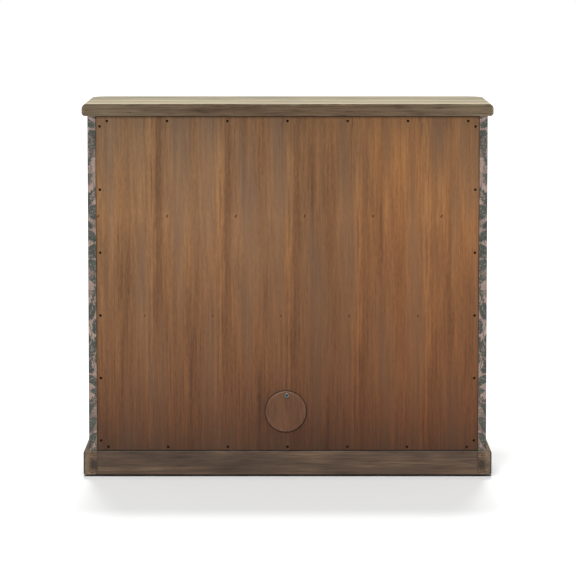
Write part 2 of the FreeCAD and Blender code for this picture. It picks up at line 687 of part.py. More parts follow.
def make_drawer(name, centre):
    """One drawer: face, dovetailed box, floor in its grooves, knob and screw, as a dict of nodes."""
    left, right = centre - BOX_HALF, centre + BOX_HALF
    front_inner = BOX_FRONT_Y + BOX_WALL
    rear_inner = BOX_REAR_Y - BOX_WALL
    floor_z = BOX_BOTTOM + BOX_FLOOR_LIFT
    floor = block(
        left + BOX_WALL - BOX_FLOOR_TONGUE,
        right - BOX_WALL + BOX_FLOOR_TONGUE,
        front_inner - BOX_FLOOR_TONGUE,
        rear_inner + BOX_FLOOR_TONGUE,
        floor_z,
        floor_z + BOX_FLOOR_THICKNESS,
    )
    groove = floor.BoundBox
    groove.enlarge(BOX_GROOVE_CLEARANCE)
    groove = block(groove.XMin, groove.XMax, groove.YMin, groove.YMax, groove.ZMin, groove.ZMax)

    sides = []
    all_tails = []
    for x0, x1 in ((left, left + BOX_WALL), (right - BOX_WALL, right)):
        tails = dovetails(x0, x1, front_inner, BOX_FRONT_Y) + dovetails(x0, x1, rear_inner, BOX_REAR_Y)
        side = block(x0, x1, front_inner, rear_inner, BOX_BOTTOM, BOX_TOP).fuse(tails).removeSplitter()
        sides.append(side.cut(groove))
        all_tails += tails

    hole = knob_hole(centre, DRAWER_KNOB_Z, front_inner)
    box_front = block(left, right, BOX_FRONT_Y, front_inner, BOX_BOTTOM, BOX_TOP)
    box_back = block(left, right, rear_inner, BOX_REAR_Y, BOX_BOTTOM, BOX_TOP)
    face_half = DRAWER_BAY / 2 - DRAWER_GAP
    face = block(
        centre - face_half,
        centre + face_half,
        FRONT_Y,
        BOX_FRONT_Y,
        DECK_TOP + DRAWER_GAP,
        RAIL_UNDERSIDE - DRAWER_GAP,
    )
    face = rounded(face, FRONT_EDGE_EASE, lambda box: near(box.YMax, FRONT_Y))
    return {
        name + "_face": face.cut(hole),
        name + "_box_front": box_front.cut(all_tails + [groove, hole]),
        name + "_box_back": box_back.cut(all_tails + [groove]),
        name + "_left_side": sides[0],
        name + "_right_side": sides[1],
        name + "_floor": floor,
        name + "_knob": make_knob(centre, DRAWER_KNOB_Z),
        name + "_knob_screw": make_knob_screw(centre, DRAWER_KNOB_Z, front_inner),
    }


# Drawer slides


def channel(web, tip, half_height):
    """A C section as (distance from the cabinet wall, height) pairs: a web and two flanges that end at tip."""
    inside = web + SLIDE_WALL if tip > web else web - SLIDE_WALL
    lip = half_height - SLIDE_WALL
    return [
        (web, -half_height),
        (tip, -half_height),
        (tip, -lip),
        (inside, -lip),
        (inside, lip),
        (tip, lip),
        (tip, half_height),
        (web, half_height),
    ]


def along_slide(section, wall, inward, front, length):
    """A slide section drawn out along the drawer's travel beside a cabinet wall."""
    points = [Vector(wall + inward * out, front, SLIDE_Z + height) for out, height in section]
    return prism(points, Vector(0, length, 0))


def make_slide(wall, inward):
    """One telescopic slide beside a cabinet wall, as its outer, middle and inner solids."""
    outer_half = SLIDE_HEIGHT / 2
    middle_half = outer_half - SLIDE_WALL - SLIDE_BALL_SPACE
    inner_half = middle_half - SLIDE_WALL - SLIDE_BALL_SPACE
    middle_web = SLIDE_WALL + SLIDE_WEB_GAP
    far_tip = SLIDE_THICKNESS - SLIDE_WALL - SLIDE_TIP_GAP
    near_tip = middle_web + SLIDE_WALL + SLIDE_TIP_GAP
    outer = along_slide(channel(0, far_tip, outer_half), wall, inward, SLIDE_FRONT_Y, SLIDE_LENGTH)
    middle = along_slide(channel(middle_web, far_tip, middle_half), wall, inward, SLIDE_FRONT_Y, SLIDE_LENGTH)
    inner = along_slide(channel(SLIDE_THICKNESS, near_tip, inner_half), wall, inward, SLIDE_FRONT_Y, SLIDE_LENGTH)

    strip = SLIDE_BALL_SPACE - SLIDE_RUNNING_GAP
    length = RETAINER_LENGTH_SHARE * SLIDE_LENGTH
    rear_front = SLIDE_FRONT_Y + SLIDE_LENGTH - length
    low_out, high_out = near_tip + RETAINER_EDGE_SETBACK, far_tip - RETAINER_EDGE_SETBACK
    lip = middle_half - SLIDE_WALL
    retainers = []
    for side in (-1, 1):
        for front, seat, edge in (
            (rear_front, side * middle_half, side * (middle_half + strip)),
            (SLIDE_FRONT_Y, side * lip, side * (lip - strip)),
        ):
            section = [(low_out, seat), (high_out, seat), (high_out, edge), (low_out, edge)]
            retainers.append(along_slide(section, wall, inward, front, length))
    return outer, [middle] + retainers, inner


def make_slides():
    """The four slides as a dict of nodes: fixed outers, and middles and inners for each drawer."""
    half = PARTITION_THICKNESS / 2
    nodes = {"drawer_slide_outers": []}
    for name, walls in (
        ("left_drawer", ((-INNER_HALF, 1), (-half, -1))),
        ("right_drawer", ((half, 1), (INNER_HALF, -1))),
    ):
        middles, inners = [], []
        for wall, inward in walls:
            outer, middle, inner = make_slide(wall, inward)
            nodes["drawer_slide_outers"].append(outer)
            middles += middle
            inners.append(inner)
        nodes[name + "_slide_middles"] = group(middles)
        nodes[name + "_slide_inners"] = group(inners)
    nodes["drawer_slide_outers"] = group(nodes["drawer_slide_outers"])
    return nodes


# Doors


def hinge_bottoms():
    """The heights at which a door's two hinges start."""
    return (DOOR_BOTTOM + HINGE_END_DISTANCE, DOOR_TOP - HINGE_END_DISTANCE - HINGE_HEIGHT)


def make_hinge(bottom):
    """One butt hinge of the right door as its frame leaf, door leaf and pin."""
    knuckle = HINGE_HEIGHT / 3
    top = bottom + HINGE_HEIGHT
    rear = FRONT_Y + HINGE_LEAF_WIDTH
    frame_in, frame_out = INNER_HALF - HINGE_LEAF_THICKNESS, INNER_HALF
    door_in, door_out = DOOR_HINGE_X, DOOR_HINGE_X + HINGE_LEAF_THICKNESS
    bore = Part.makeCylinder(
        HINGE_PIN_RADIUS + HINGE_PIN_CLEARANCE,
        HINGE_HEIGHT + OVERRUN + OVERRUN,
        Vector(HINGE_AXIS_X, HINGE_AXIS_Y, bottom - OVERRUN),
    )

    def leaf(x0, x1, spans):
        plate = block(x0, x1, FRONT_Y, rear, bottom, top)
        pieces = []
        for low, high in spans:
            place = Vector(HINGE_AXIS_X, HINGE_AXIS_Y, low)
            pieces.append(Part.makeCylinder(HINGE_BARREL_RADIUS, high - low, place))
            pieces.append(block(x0, x1, HINGE_AXIS_Y, FRONT_Y, low, high))
        return plate.fuse(pieces).removeSplitter().cut(bore)

    lower, upper = bottom + knuckle, top - knuckle
    frame_leaf = leaf(frame_in, frame_out, ((bottom, lower), (upper, top)))
    door_leaf = leaf(door_in, door_out, ((lower + HINGE_KNUCKLE_GAP, upper - HINGE_KNUCKLE_GAP),))
    half_head = HINGE_PIN_HEAD_HEIGHT / 2
    outline = profile(
        [
            (0, -HINGE_PIN_HEAD_HEIGHT),
            (HINGE_PIN_RADIUS, -HINGE_PIN_HEAD_HEIGHT),
            (HINGE_BARREL_RADIUS, -half_head),
            (HINGE_BARREL_RADIUS, 0),
            (HINGE_PIN_RADIUS, 0),
            (HINGE_PIN_RADIUS, HINGE_HEIGHT),
            (HINGE_BARREL_RADIUS, HINGE_HEIGHT),
            (HINGE_BARREL_RADIUS, HINGE_HEIGHT + half_head),
            (HINGE_PIN_RADIUS, HINGE_HEIGHT + HINGE_PIN_HEAD_HEIGHT),
            (0, HINGE_HEIGHT + HINGE_PIN_HEAD_HEIGHT),
        ]
    )
    pin = moved(turned(outline, Z_AXIS), HINGE_AXIS_X, HINGE_AXIS_Y, bottom)
    return frame_leaf, door_leaf, pin


def make_right_door():
    """The right door's nodes, less the name of its side, as a dict."""
    panel = block(DOOR_MEETING_X, DOOR_HINGE_X, FRONT_Y, DOOR_REAR_Y, DOOR_BOTTOM, DOOR_TOP)
    panel = rounded(panel, FRONT_EDGE_EASE, lambda box: near(box.YMax, FRONT_Y))
    middle = DOOR_MEETING_X + CATCH_MEETING_OFFSET
    strike_top = DOOR_TOP - STRIKE_TOP_INSET
    strike = block(
        middle - STRIKE_LENGTH / 2,
        middle + STRIKE_LENGTH / 2,
        DOOR_REAR_Y,
        DOOR_REAR_Y + STRIKE_THICKNESS,
        strike_top - STRIKE_HEIGHT,
        strike_top,
    )
    strike = rounded(strike, STRIKE_CORNER_ROUND, lambda box: box.YMax - box.YMin > STRIKE_THICKNESS - TOUCH)
    return {
        "door_panel": panel.cut(knob_hole(DOOR_KNOB_X, DOOR_KNOB_Z, DOOR_REAR_Y)),
        "door_hinge_leaves": group([make_hinge(bottom)[1] for bottom in hinge_bottoms()]),
        "door_strike_plate": strike,
        "door_knob": make_knob(DOOR_KNOB_X, DOOR_KNOB_Z),
        "door_knob_screw": make_knob_screw(DOOR_KNOB_X, DOOR_KNOB_Z, DOOR_REAR_Y),
    }


def make_hinge_frame_parts():
    """The hinge leaves on the side panels and the pins they hold, for both doors."""
    hinges = [make_hinge(bottom) for bottom in hinge_bottoms()]
    leaves = [hinge[0] for hinge in hinges]
    pins = [hinge[2] for hinge in hinges]
    return {
        "hinge_frame_leaves": group(leaves + [mirrored(leaf) for leaf in leaves]),
        "hinge_pins": group(pins + [mirrored(pin) for pin in pins]),
    }


def make_magnetic_catches():
    """A magnet case under the deck behind each door's free edge."""
    middle = DOOR_MEETING_X + CATCH_MEETING_OFFSET
    front = DOOR_REAR_Y + STRIKE_THICKNESS + CATCH_GAP
    lower = DECK_UNDERSIDE - CATCH_HEIGHT
    case = block(
        middle - CATCH_LENGTH / 2, middle + CATCH_LENGTH / 2, front, front + CATCH_DEPTH, lower, DECK_UNDERSIDE
    )
    case = rounded(case, CATCH_EDGE_EASE, lambda box: near(box.ZMax, lower) and near(box.XMin, box.XMax))
    return group([case, mirrored(case)])


# The whole cabinet


def make_nodes():
    """Every node's shape by name."""
    nodes = {
        "top_panel": make_top_panel(),
        "front_plinth_rail": make_front_plinth_rail(),
        "rear_plinth_rail": make_rear_plinth_rail(),
        "plinth_corner_blocks": make_plinth_corner_blocks(),
        "floor_glides": make_floor_glides(),
        "bottom_panel": make_bottom_panel(),
        "bottom_front_rail": make_bottom_front_rail(),
        "front_top_rail": make_front_top_rail(),
        "rear_top_rail": make_rear_top_rail(),
        "drawer_deck": make_drawer_deck(),
        "drawer_partition": make_drawer_partition(),
        "back_panel": make_back_panel(),
        "back_panel_screws": make_back_panel_screws(),
        "cable_cover": make_cable_cover(),
        "cover_pivot_screw": make_cover_pivot_screw(),
        "shelf": make_shelf(),
        "shelf_pins": make_shelf_pins(),
        "magnetic_catches": make_magnetic_catches(),
    }
    for name, make in (
        ("side_panel", make_right_side_panel),
        ("back_cleat", make_right_back_cleat),
        ("plinth_rail", make_right_plinth_rail),
    ):
        shape = make()
        nodes["right_" + name] = shape
        nodes["left_" + name] = mirrored(shape)
    for name, shape in make_right_door().items():
        nodes["right_" + name] = shape
        nodes["left_" + name] = mirrored(shape)
    nodes.update(make_drawer("left_drawer", -DRAWER_CENTRE))
    nodes.update(make_drawer("right_drawer", DRAWER_CENTRE))
    nodes.update(make_slides())
    nodes.update(make_hinge_frame_parts())
    return nodes


def main():
    """Writes one STEP file for each node."""
    os.makedirs("parts", exist_ok=True)
    for name, shape in sorted(make_nodes().items()):
        shape.exportStep(os.path.join("parts", name + ".step"))
        print(name, len(shape.Solids), "solids", round(shape.Volume), "mm3", shape.isValid())


if __name__ == "__main__":
    main()
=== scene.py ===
"""Looks of the storage cabinet: finishes, small hardware, floor, light and camera.

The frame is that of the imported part: metres, +Z up, doors and drawers facing -Y, screwed back panel
facing +Y.
"""

import logging
import math
from dataclasses import dataclass, replace
from enum import Enum

import bpy
import numpy as np
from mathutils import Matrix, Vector


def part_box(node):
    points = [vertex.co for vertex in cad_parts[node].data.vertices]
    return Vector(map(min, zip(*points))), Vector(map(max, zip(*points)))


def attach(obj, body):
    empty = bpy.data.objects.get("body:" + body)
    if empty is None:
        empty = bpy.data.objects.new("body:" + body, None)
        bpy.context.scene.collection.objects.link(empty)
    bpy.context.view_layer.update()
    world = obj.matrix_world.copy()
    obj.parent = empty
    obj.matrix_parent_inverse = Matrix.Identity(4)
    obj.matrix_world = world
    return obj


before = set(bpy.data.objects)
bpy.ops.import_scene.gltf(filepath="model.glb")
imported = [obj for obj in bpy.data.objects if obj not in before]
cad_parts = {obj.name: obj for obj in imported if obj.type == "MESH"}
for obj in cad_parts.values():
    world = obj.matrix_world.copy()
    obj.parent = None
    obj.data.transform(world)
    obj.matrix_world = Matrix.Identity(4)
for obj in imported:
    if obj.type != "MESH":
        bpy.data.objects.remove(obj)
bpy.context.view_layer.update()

log = logging.getLogger("cabinet")

MM = 0.001
MM_PER_M = 1000.0
TWO_PI = 2 * math.pi
# A noise's mean, and the span that most of it lies in.
NOISE_MEAN = 0.5
NOISE_SPAN = (0.35, 0.65)
# The tone, from dark to light, that noises and rings are added to.
MID_TONE = 0.5
# The foil stops this far short of a board's inner face.
FOIL_TURN_MM = 0.5

# The two colour sockets of a colour Mix node, and the setting and output that go with them.
UNDER, OVER = 6, 7
COLOUR_MIX = {"data_type": "RGBA", "out": 2}

Socket = bpy.types.NodeSocket
Material = bpy.types.Material
Colour = tuple[float, float, float, float]
Span = tuple[float, float]
# The limits of a MapRange node: low and high of what comes in, then of what goes out.
Limits = tuple[float, float, float, float]


def linear(code: str) -> Colour:
    """Turns an sRGB hex code into a linear colour, by that standard's own curve.

    Args:
        code: six hex digits after a hash sign.

    Returns:
        Red, green, blue and an alpha of one.
    """
    channels = np.array([int(code[i : i + 2], 16) for i in (1, 3, 5)]) / 255
    low = channels / 12.92
    high = ((channels + 0.055) / 1.055) ** 2.4
    return (*np.where(channels <= 0.04045, low, high).tolist(), 1.0)


def box_mm(node: str) -> tuple[np.ndarray, np.ndarray]:
    """The low and high corners of a node's box, in millimetres."""
    low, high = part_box(node)
    return np.array(low) * MM_PER_M, np.array(high) * MM_PER_M


class Grain(Enum):
    """The direction that a board's fibres run in, as the order of its (across, across, along) axes."""

    ALONG_X = ("Y", "Z", "X")
    ALONG_Y = ("Z", "X", "Y")
    ALONG_Z = ("X", "Y", "Z")


class Wrap(Enum):
    """How the printed foil lies on its board."""

    SIDE = "over a side panel's outer face and round its edges"
    FRONT = "over the face and edges of a door or drawer"


class Hand(Enum):
    """The side of the cabinet, seen from its front, and the sign of its X."""

    LEFT = -1
    RIGHT = 1

    @property
    def word(self) -> str:
        """The side's name as the nodes and bodies have it."""
        return self.name.lower()


class Shader:
    """A material under construction: its principled shader and the nodes that feed it."""

    def __init__(self, name: str, **values: float) -> None:
        """Starts a material.

        Args:
            name: the real material's name.
            **values: constant sockets of the principled shader, with spaces as underscores.
        """
        self.material = bpy.data.materials.new(name)
        self.material.use_nodes = True
        self.tree = self.material.node_tree
        self.surface = self.tree.nodes["Principled BSDF"]
        for socket, value in values.items():
            self.surface.inputs[socket.replace("_", " ")].default_value = value

    def add(
        self,
        kind: str,
        *values: Socket | float | tuple | None,
        out: int | str = 0,
        named: dict | None = None,
        stops: list[tuple[float, str]] | None = None,
        curve: tuple[Span, ...] | None = None,
        **settings: object,
    ) -> Socket:
        """Adds one node, sets it and links it.

        Args:
            kind: the node's type without its ShaderNode prefix.
            *values: inputs in socket order, each a socket to link, a constant, or None to leave as it is.
            out: the output socket wanted.
            named: further inputs by socket name or number.
            stops: (place, hex colour) pairs of a colour ramp.
            curve: points of a float curve.
            **settings: properties of the node.

        Returns:
            The wanted output socket.
        """
        node = self.tree.nodes.new("ShaderNode" + kind)
        for key, value in settings.items():
            setattr(node, key, value)
        for key, value in [*enumerate(values), *(named or {}).items()]:
            if isinstance(value, Socket):
                self.tree.links.new(value, node.inputs[key])
            elif value is not None:
                node.inputs[key].default_value = value
        if stops:
            band = node.color_ramp.elements
            for element, (place, code) in zip(band, (stops[0], stops[-1])):
                element.position, element.color = place, linear(code)
            for place, code in stops[1:-1]:
                band.new(place).color = linear(code)
        if curve:
            points = node.mapping.curves[0].points
            points[0].location, points[1].location = curve[0], curve[-1]
            for point in curve[1:-1]:
                points.new(*point)
            node.mapping.update()
        return node.outputs[out]

    def feed(self, socket: str, value: Socket) -> None:
        """Links a value to one of the principled shader's sockets."""
        self.tree.links.new(value, self.surface.inputs[socket])

    def place(self) -> Socket:
        """The place on the object as a vector, in millimetres."""
        spot = self.add("TexCoord", out="Object")
        return self.add("VectorMath", spot, named={"Scale": MM_PER_M}, operation="SCALE")

    def millimetres(self) -> list[Socket]:
        """The three coordinates of the place, in millimetres."""
        return list(self.add("SeparateXYZ", self.place()).node.outputs)

    def facing(self) -> list[Socket]:
        """The three parts of the surface's direction."""
        return list(self.add("SeparateXYZ", self.add("TexCoord", out="Normal")).node.outputs)

    def vary(self, base: Socket | float, noise: Socket, share: float) -> Socket:
        """A value plus a share of how far a noise lies above its mean."""
        swing = self.add("Math", noise, NOISE_MEAN, operation="SUBTRACT")
        return self.add("Math", swing, share, base, operation="MULTIPLY_ADD")

    def from_axis(self, node: str) -> Socket:
        """The distance from the axis of a round node that faces along Y.

        Args:
            node: the round node, whose box gives its middle.

        Returns:
            The distance in millimetres.
        """
        low, high = box_mm(node)
        off = self.add("VectorMath", self.place(), tuple((low + high) / 2), operation="SUBTRACT")
        level = self.add("VectorMath", off, (1.0, 0.0, 1.0), operation="MULTIPLY")
        return self.add("VectorMath", level, operation="LENGTH", out="Value")

    def arris(self, board: str, width_mm: float, patch_mm: float, swing: float = 4.0) -> Socket:
        """How worn a board is at a place: one along its arrises, nothing on its faces.

        Of the three distances to the nearest face along each axis, the middle one is small only near an
        arris. A noise moves it, so that the worn line comes and goes.

        Args:
            board: the node whose box gives the faces.
            width_mm: how far the wear reaches.
            patch_mm: the size of the noise's patches.
            swing: how far the noise moves the line, in widths of it.

        Returns:
            The share of wear.
        """
        low, high = box_mm(board)
        spot = self.place()
        off = self.add("VectorMath", spot, tuple((low + high) / 2), operation="SUBTRACT")
        inside = self.add("VectorMath", off, operation="ABSOLUTE")
        depth = self.add("VectorMath", tuple((high - low) / 2), inside, operation="SUBTRACT")
        a, b, c = self.add("SeparateXYZ", depth).node.outputs
        least = self.add("Math", a, b, operation="MINIMUM")
        most = self.add("Math", self.add("Math", a, b, operation="MAXIMUM"), c, operation="MINIMUM")
        second = self.add("Math", least, most, operation="MAXIMUM")
        patch = self.add("TexNoise", spot, named={"Scale": 1 / patch_mm, "Detail": 4.0, "Roughness": 0.65})
        moved = self.vary(second, patch, swing * width_mm)
        return self.add("MapRange", moved, 0.0, width_mm, 1.0, 0.0)


@dataclass(frozen=True)
class Fibre:
    """One noise drawn out along the fibres: width and length in millimetres, and its share in the tone."""

    width: float
    length: float
    share: float
    octaves: float = 3.0
    twist: float = 0.0

    def field(self, shader: Shader, across: Socket, along: Socket, coarseness: float) -> Socket:
        """The noise at a place, which is measured in the fibre's own widths and lengths.

        Args:
            shader: the material to add nodes to.
            across: the place across the fibres, a vector in millimetres with nothing along its Z.
            along: the place along them, in millimetres.
            coarseness: how much the finer octaves show.

        Returns:
            The noise.
        """
        add = shader.add
        wide = add("VectorMath", across, named={"Scale": 1 / self.width}, operation="SCALE")
        far = add("CombineXYZ", 0.0, 0.0, add("Math", along, 1 / self.length, operation="MULTIPLY"))
        spot = add("VectorMath", wide, far, operation="ADD")
        make = {"Scale": 1.0, "Detail": self.octaves, "Roughness": coarseness, "Distortion": self.twist}
        return add("TexNoise", spot, named=make)


@dataclass(frozen=True)
class EndGrain:
    """How the end of a side rail has aged. Lengths are in millimetres, from the cabinet's middle or a face.

    It gives a pale outer edge with a thin dark line of painted shade along its outer arris, and a dark unworn
    line where the rear rail meets it.
    """

    pale_from: float = 488.0
    pale_fade: float = 9.0
    pale_share: float = 0.36
    unworn: Span = (2.0, 8.0)
    # The outline is painted shade along the end's outer arris.
    outline: Span = (4.6, 2.4)
    outline_share: float = 0.9
    joint: Span = (3.6, 1.2)
    joint_share: float = 0.6

    def draw(self, shader: Shader, board: str, worn: Socket) -> tuple[Socket, list[Socket]]:
        """Adds the pale edge to the wear, takes wear off the joint and rules the painted shade line at the
        outer arris and the dark joint line.

        Args:
            shader: the material to add nodes to.
            board: the rail, whose end faces along Y.
            worn: the share of wear so far.

        Returns:
            The share of wear, and the shares of the dark lines.
        """
        add = shader.add
        inner, outer = sorted(abs(corner[0]) for corner in box_mm(board))
        out = add("Math", shader.millimetres()[0], operation="ABSOLUTE")
        end = add("Math", shader.facing()[1], operation="ABSOLUTE")
        clear = add("MapRange", out, inner + self.unworn[0], inner + self.unworn[1])
        worn = add("Math", worn, clear, operation="MULTIPLY")
        pale = add("MapRange", out, self.pale_from, self.pale_from + self.pale_fade, 0.0, self.pale_share)
        worn = add("Math", worn, add("Math", pale, end, operation="MULTIPLY"), operation="MAXIMUM")
        lines = []
        for start, stop, share in (
            (outer - self.outline[0], outer - self.outline[1], self.outline_share),
            (inner + self.joint[0], inner + self.joint[1], self.joint_share),
        ):
            line = add("MapRange", out, start, stop, 0.0, share)
            lines.append(add("Math", line, end, operation="MULTIPLY"))
        return worn, lines


@dataclass(frozen=True)
class Timber:
    """Solid wood whose growth rings lie round a pith, so that all of a board's faces come from one log.

    It gives long soft streaks on the faces, arcs on the end grain, a faint tooth of fibres and, where they
    are asked for, open pores, staves of different tone, a dark heart, worn arrises and ends, painted shade
    along an end's outer arris, and an upper face that is either bleached by light or darkened by dust and
    painted shade. Its fibres are drawn coarser than real ones, so that they show.
    """

    name: str
    dark: str
    mid: str
    light: str
    tone_stops: tuple[float, float, float] = (0.22, 0.5, 0.78)

    worn: str = "#8c7656"
    worn_share: float = 0.0
    worn_foot_share: float = 1.0
    worn_mm: Span = (3.0, 38.0)
    worn_limits: Limits = (0.2, 0.8, 0.55, 1.45)
    upper_share: float = 0.0
    upper_span: Span = (0.75, 1.0)
    handled_share: float = 0.0
    handled_tip_mm: Span = (9.0, 2.0)
    handled_reach_mm: Span = (330.0, 60.0)
    handled_reach_share: float = 0.4
    corner_mm: Span = (75.0, 25.0)
    end_grain: EndGrain | None = None

    ring_mm: float = 3.4
    ring_share: float = 0.12
    end_ring_share: float = 0.55
    end_span: Span = (0.6, 0.9)
    late_limits: Limits = (0.35, 0.6, 0.1, 1.2)
    warp: Fibre = Fibre(46.0, 300.0, 0.0, 2.0)
    warp_mm: float = 13.0
    fibre: Fibre = Fibre(1.3, 60.0, 0.4, 4.0)
    streak: Fibre = Fibre(9.0, 330.0, 0.6, 4.0, 0.5)
    cloud: Fibre = Fibre(60.0, 210.0, 0.6, 2.0, 0.3)
    coarseness: float = 0.6
    pore_share: float = 0.0
    pore_span: Span = (0.3, 0.44)
    stave_mm: float = 0.0
    stave_share: float = 0.36
    stave_shift_mm: float = 900.0
    pith_mm: Span = (31.0, 46.0)
    heart_mm: float = 0.0
    heart_share: float = 0.32

    roughness: float = 0.55
    specular: float = 0.35
    bump_mm: float = 0.12
    bump_strength: float = 0.5

    def stops(self) -> list[tuple[float, str]]:
        """The colours of the tones, from dark to light."""
        return list(zip(self.tone_stops, (self.dark, self.mid, self.light)))

    def tone(self, shader: Shader, grain: Grain) -> tuple[Socket, Socket]:
        """Distance from the pith, wrapped at every ring, plus noises drawn out along the fibres.

        A board glued up from staves has a tone and a stretch of figure for each.

        Args:
            shader: the material to add nodes to.
            grain: the direction of the fibres.

        Returns:
            The tone, about one half on average, and the fibre noise alone.
        """
        add = shader.add
        place = dict(zip("XYZ", shader.millimetres()))
        facing = dict(zip("XYZ", shader.facing()))
        first, second, along = (place[axis] for axis in grain.value)
        tone: Socket | float = MID_TONE
        if self.stave_mm:
            stave = add("Math", add("Math", first, self.stave_mm, operation="DIVIDE"), operation="FLOOR")
            chance = add("TexWhiteNoise", named={"W": stave}, noise_dimensions="1D")
            along = add("Math", chance, self.stave_shift_mm, along, operation="MULTIPLY_ADD")
            half = self.stave_share / 2
            tone = add("MapRange", chance, 0.0, 1.0, MID_TONE - half, MID_TONE + half)
        across = add("CombineXYZ", first, second)
        from_pith = add("VectorMath", across, (*self.pith_mm, 0.0), operation="ADD")
        warp, fibre, streak, cloud = (
            noise.field(shader, from_pith, along, self.coarseness)
            for noise in (self.warp, self.fibre, self.streak, self.cloud)
        )
        radius = add("VectorMath", from_pith, operation="LENGTH", out="Value")
        bent = add("Math", warp, self.warp_mm, radius, operation="MULTIPLY_ADD")
        ring = add("Math", add("Math", bent, self.ring_mm, operation="DIVIDE"), operation="FRACT")
        for noise, kind in ((fibre, self.fibre), (streak, self.streak), (cloud, self.cloud)):
            tone = shader.vary(tone, noise, kind.share)
        if self.pore_share:
            pores = add("MapRange", fibre, *self.pore_span, -self.pore_share, 0.0)
            tone = add("Math", pores, tone, operation="ADD")
        end = add("Math", facing[grain.value[2]], operation="ABSOLUTE")
        if self.heart_mm:
            heart = add("MapRange", bent, self.heart_mm / 2, self.heart_mm, -self.heart_share, 0.0)
            tone = add("Math", add("Math", heart, end, operation="MULTIPLY"), tone, operation="ADD")
        ring_share = add("MapRange", end, *self.end_span, self.ring_share, self.end_ring_share)
        early = add("Math", MID_TONE, ring, operation="SUBTRACT")
        late = add("Math", early, add("MapRange", streak, *self.late_limits), operation="MULTIPLY")
        return add("Math", late, ring_share, tone, operation="MULTIPLY_ADD"), fibre

    def handled(self, shader: Shader, grain: Grain, board: str, edge: Socket) -> Socket:
        """Wear towards a board's ends: at their tips, fading along the board, and on the arrises near them.

        Args:
            shader: the material to add nodes to.
            grain: the direction of the fibres, and so of the ends.
            board: the board.
            edge: one along the board's arrises.

        Returns:
            The share of wear.
        """
        add = shader.add
        axis = "XYZ".index(grain.value[2])
        reach = box_mm(board)[1][axis]
        away = add("Math", shader.millimetres()[axis], operation="ABSOLUTE")
        tip, fade, corner = (
            add("MapRange", away, reach - start, reach - stop, 0.0, share)
            for (start, stop), share in (
                (self.handled_tip_mm, self.handled_share),
                (self.handled_reach_mm, self.handled_reach_share * self.handled_share),
                (self.corner_mm, self.worn_share),
            )
        )
        worn = add("Math", edge, corner, operation="MULTIPLY")
        for rubbed in (tip, fade):
            worn = add("Math", worn, rubbed, operation="MAXIMUM")
        return worn

    def aged(self, shader: Shader, grain: Grain, board: str, tone: Socket, colour: Socket) -> Socket:
        """Puts wear, and where asked dust and painted shade, on a board's arrises, handled ends, upper face
        and end grain.

        Args:
            shader: the material to add nodes to.
            grain: the direction of the fibres.
            board: the board.
            tone: the wood's tone, which still shows in what is worn.
            colour: the wood's colour.

        Returns:
            The colour with the wear on it.
        """
        add = shader.add
        low, high = box_mm(board)
        foot_share = self.worn_share * self.worn_foot_share
        reached = add("MapRange", shader.millimetres()[2], low[2], high[2], foot_share, self.worn_share)
        edge = shader.arris(board, *self.worn_mm)
        worn = add("Math", edge, reached, operation="MULTIPLY")
        if self.handled_share:
            worn = add("Math", worn, self.handled(shader, grain, board, edge), operation="MAXIMUM")
        lines: list[Socket] = []
        if self.end_grain:
            worn, lines = self.end_grain.draw(shader, board, worn)
        upper = add("MapRange", shader.facing()[2], *self.upper_span, 0.0, self.upper_share)
        share = add("Math", worn, upper, operation="MAXIMUM")
        depth = add("MapRange", tone, *self.worn_limits)
        pale = add("VectorMath", linear(self.worn)[:3], named={"Scale": depth}, operation="SCALE")
        colour = add("Mix", share, named={UNDER: colour, OVER: pale}, **COLOUR_MIX)
        # The end grain's dark lines: painted shade at the outer arris, and the joint.
        for line in lines:
            colour = add("Mix", line, named={UNDER: colour, OVER: linear(self.dark)}, **COLOUR_MIX)
        return colour

    def material(self, grain: Grain, board: str | None = None) -> Material:
        """The finished wood for boards whose fibres run one way.

        Args:
            grain: the direction of the fibres.
            board: the one node that it is for, if it is worn.

        Returns:
            The material.
        """
        name = f"{self.name} {grain.name.lower().replace('_', ' ')}"
        shader = Shader(name, Roughness=self.roughness, Specular_IOR_Level=self.specular)
        tone, fibre = self.tone(shader, grain)
        colour = shader.add("ValToRGB", tone, stops=self.stops())
        if board:
            colour = self.aged(shader, grain, board, tone, colour)
        shader.feed("Base Color", colour)
        tooth = {"Strength": self.bump_strength, "Distance": self.bump_mm * MM, "Height": fibre}
        shader.feed("Normal", shader.add("Bump", named=tooth))
        return shader.material


@dataclass(frozen=True)
class Streak:
    """An upright line or band in every leaf of veneer. Lengths are in millimetres."""

    across: float
    half_width: float
    tone: float
    fades_in: Span = (-1.0, 0.0)


@dataclass(frozen=True)
class Knot:
    """A small leaning knot in every leaf of veneer: place and size in millimetres, and how dark it is."""

    across: float
    height: float
    depth: float = 0.95
    half_width: float = 2.7
    half_height: float = 4.4
    lean: float = -0.3
    heart: Span = (0.4, 1.5)
    halo: Span = (1.2, 2.8)
    halo_tone: float = 0.08


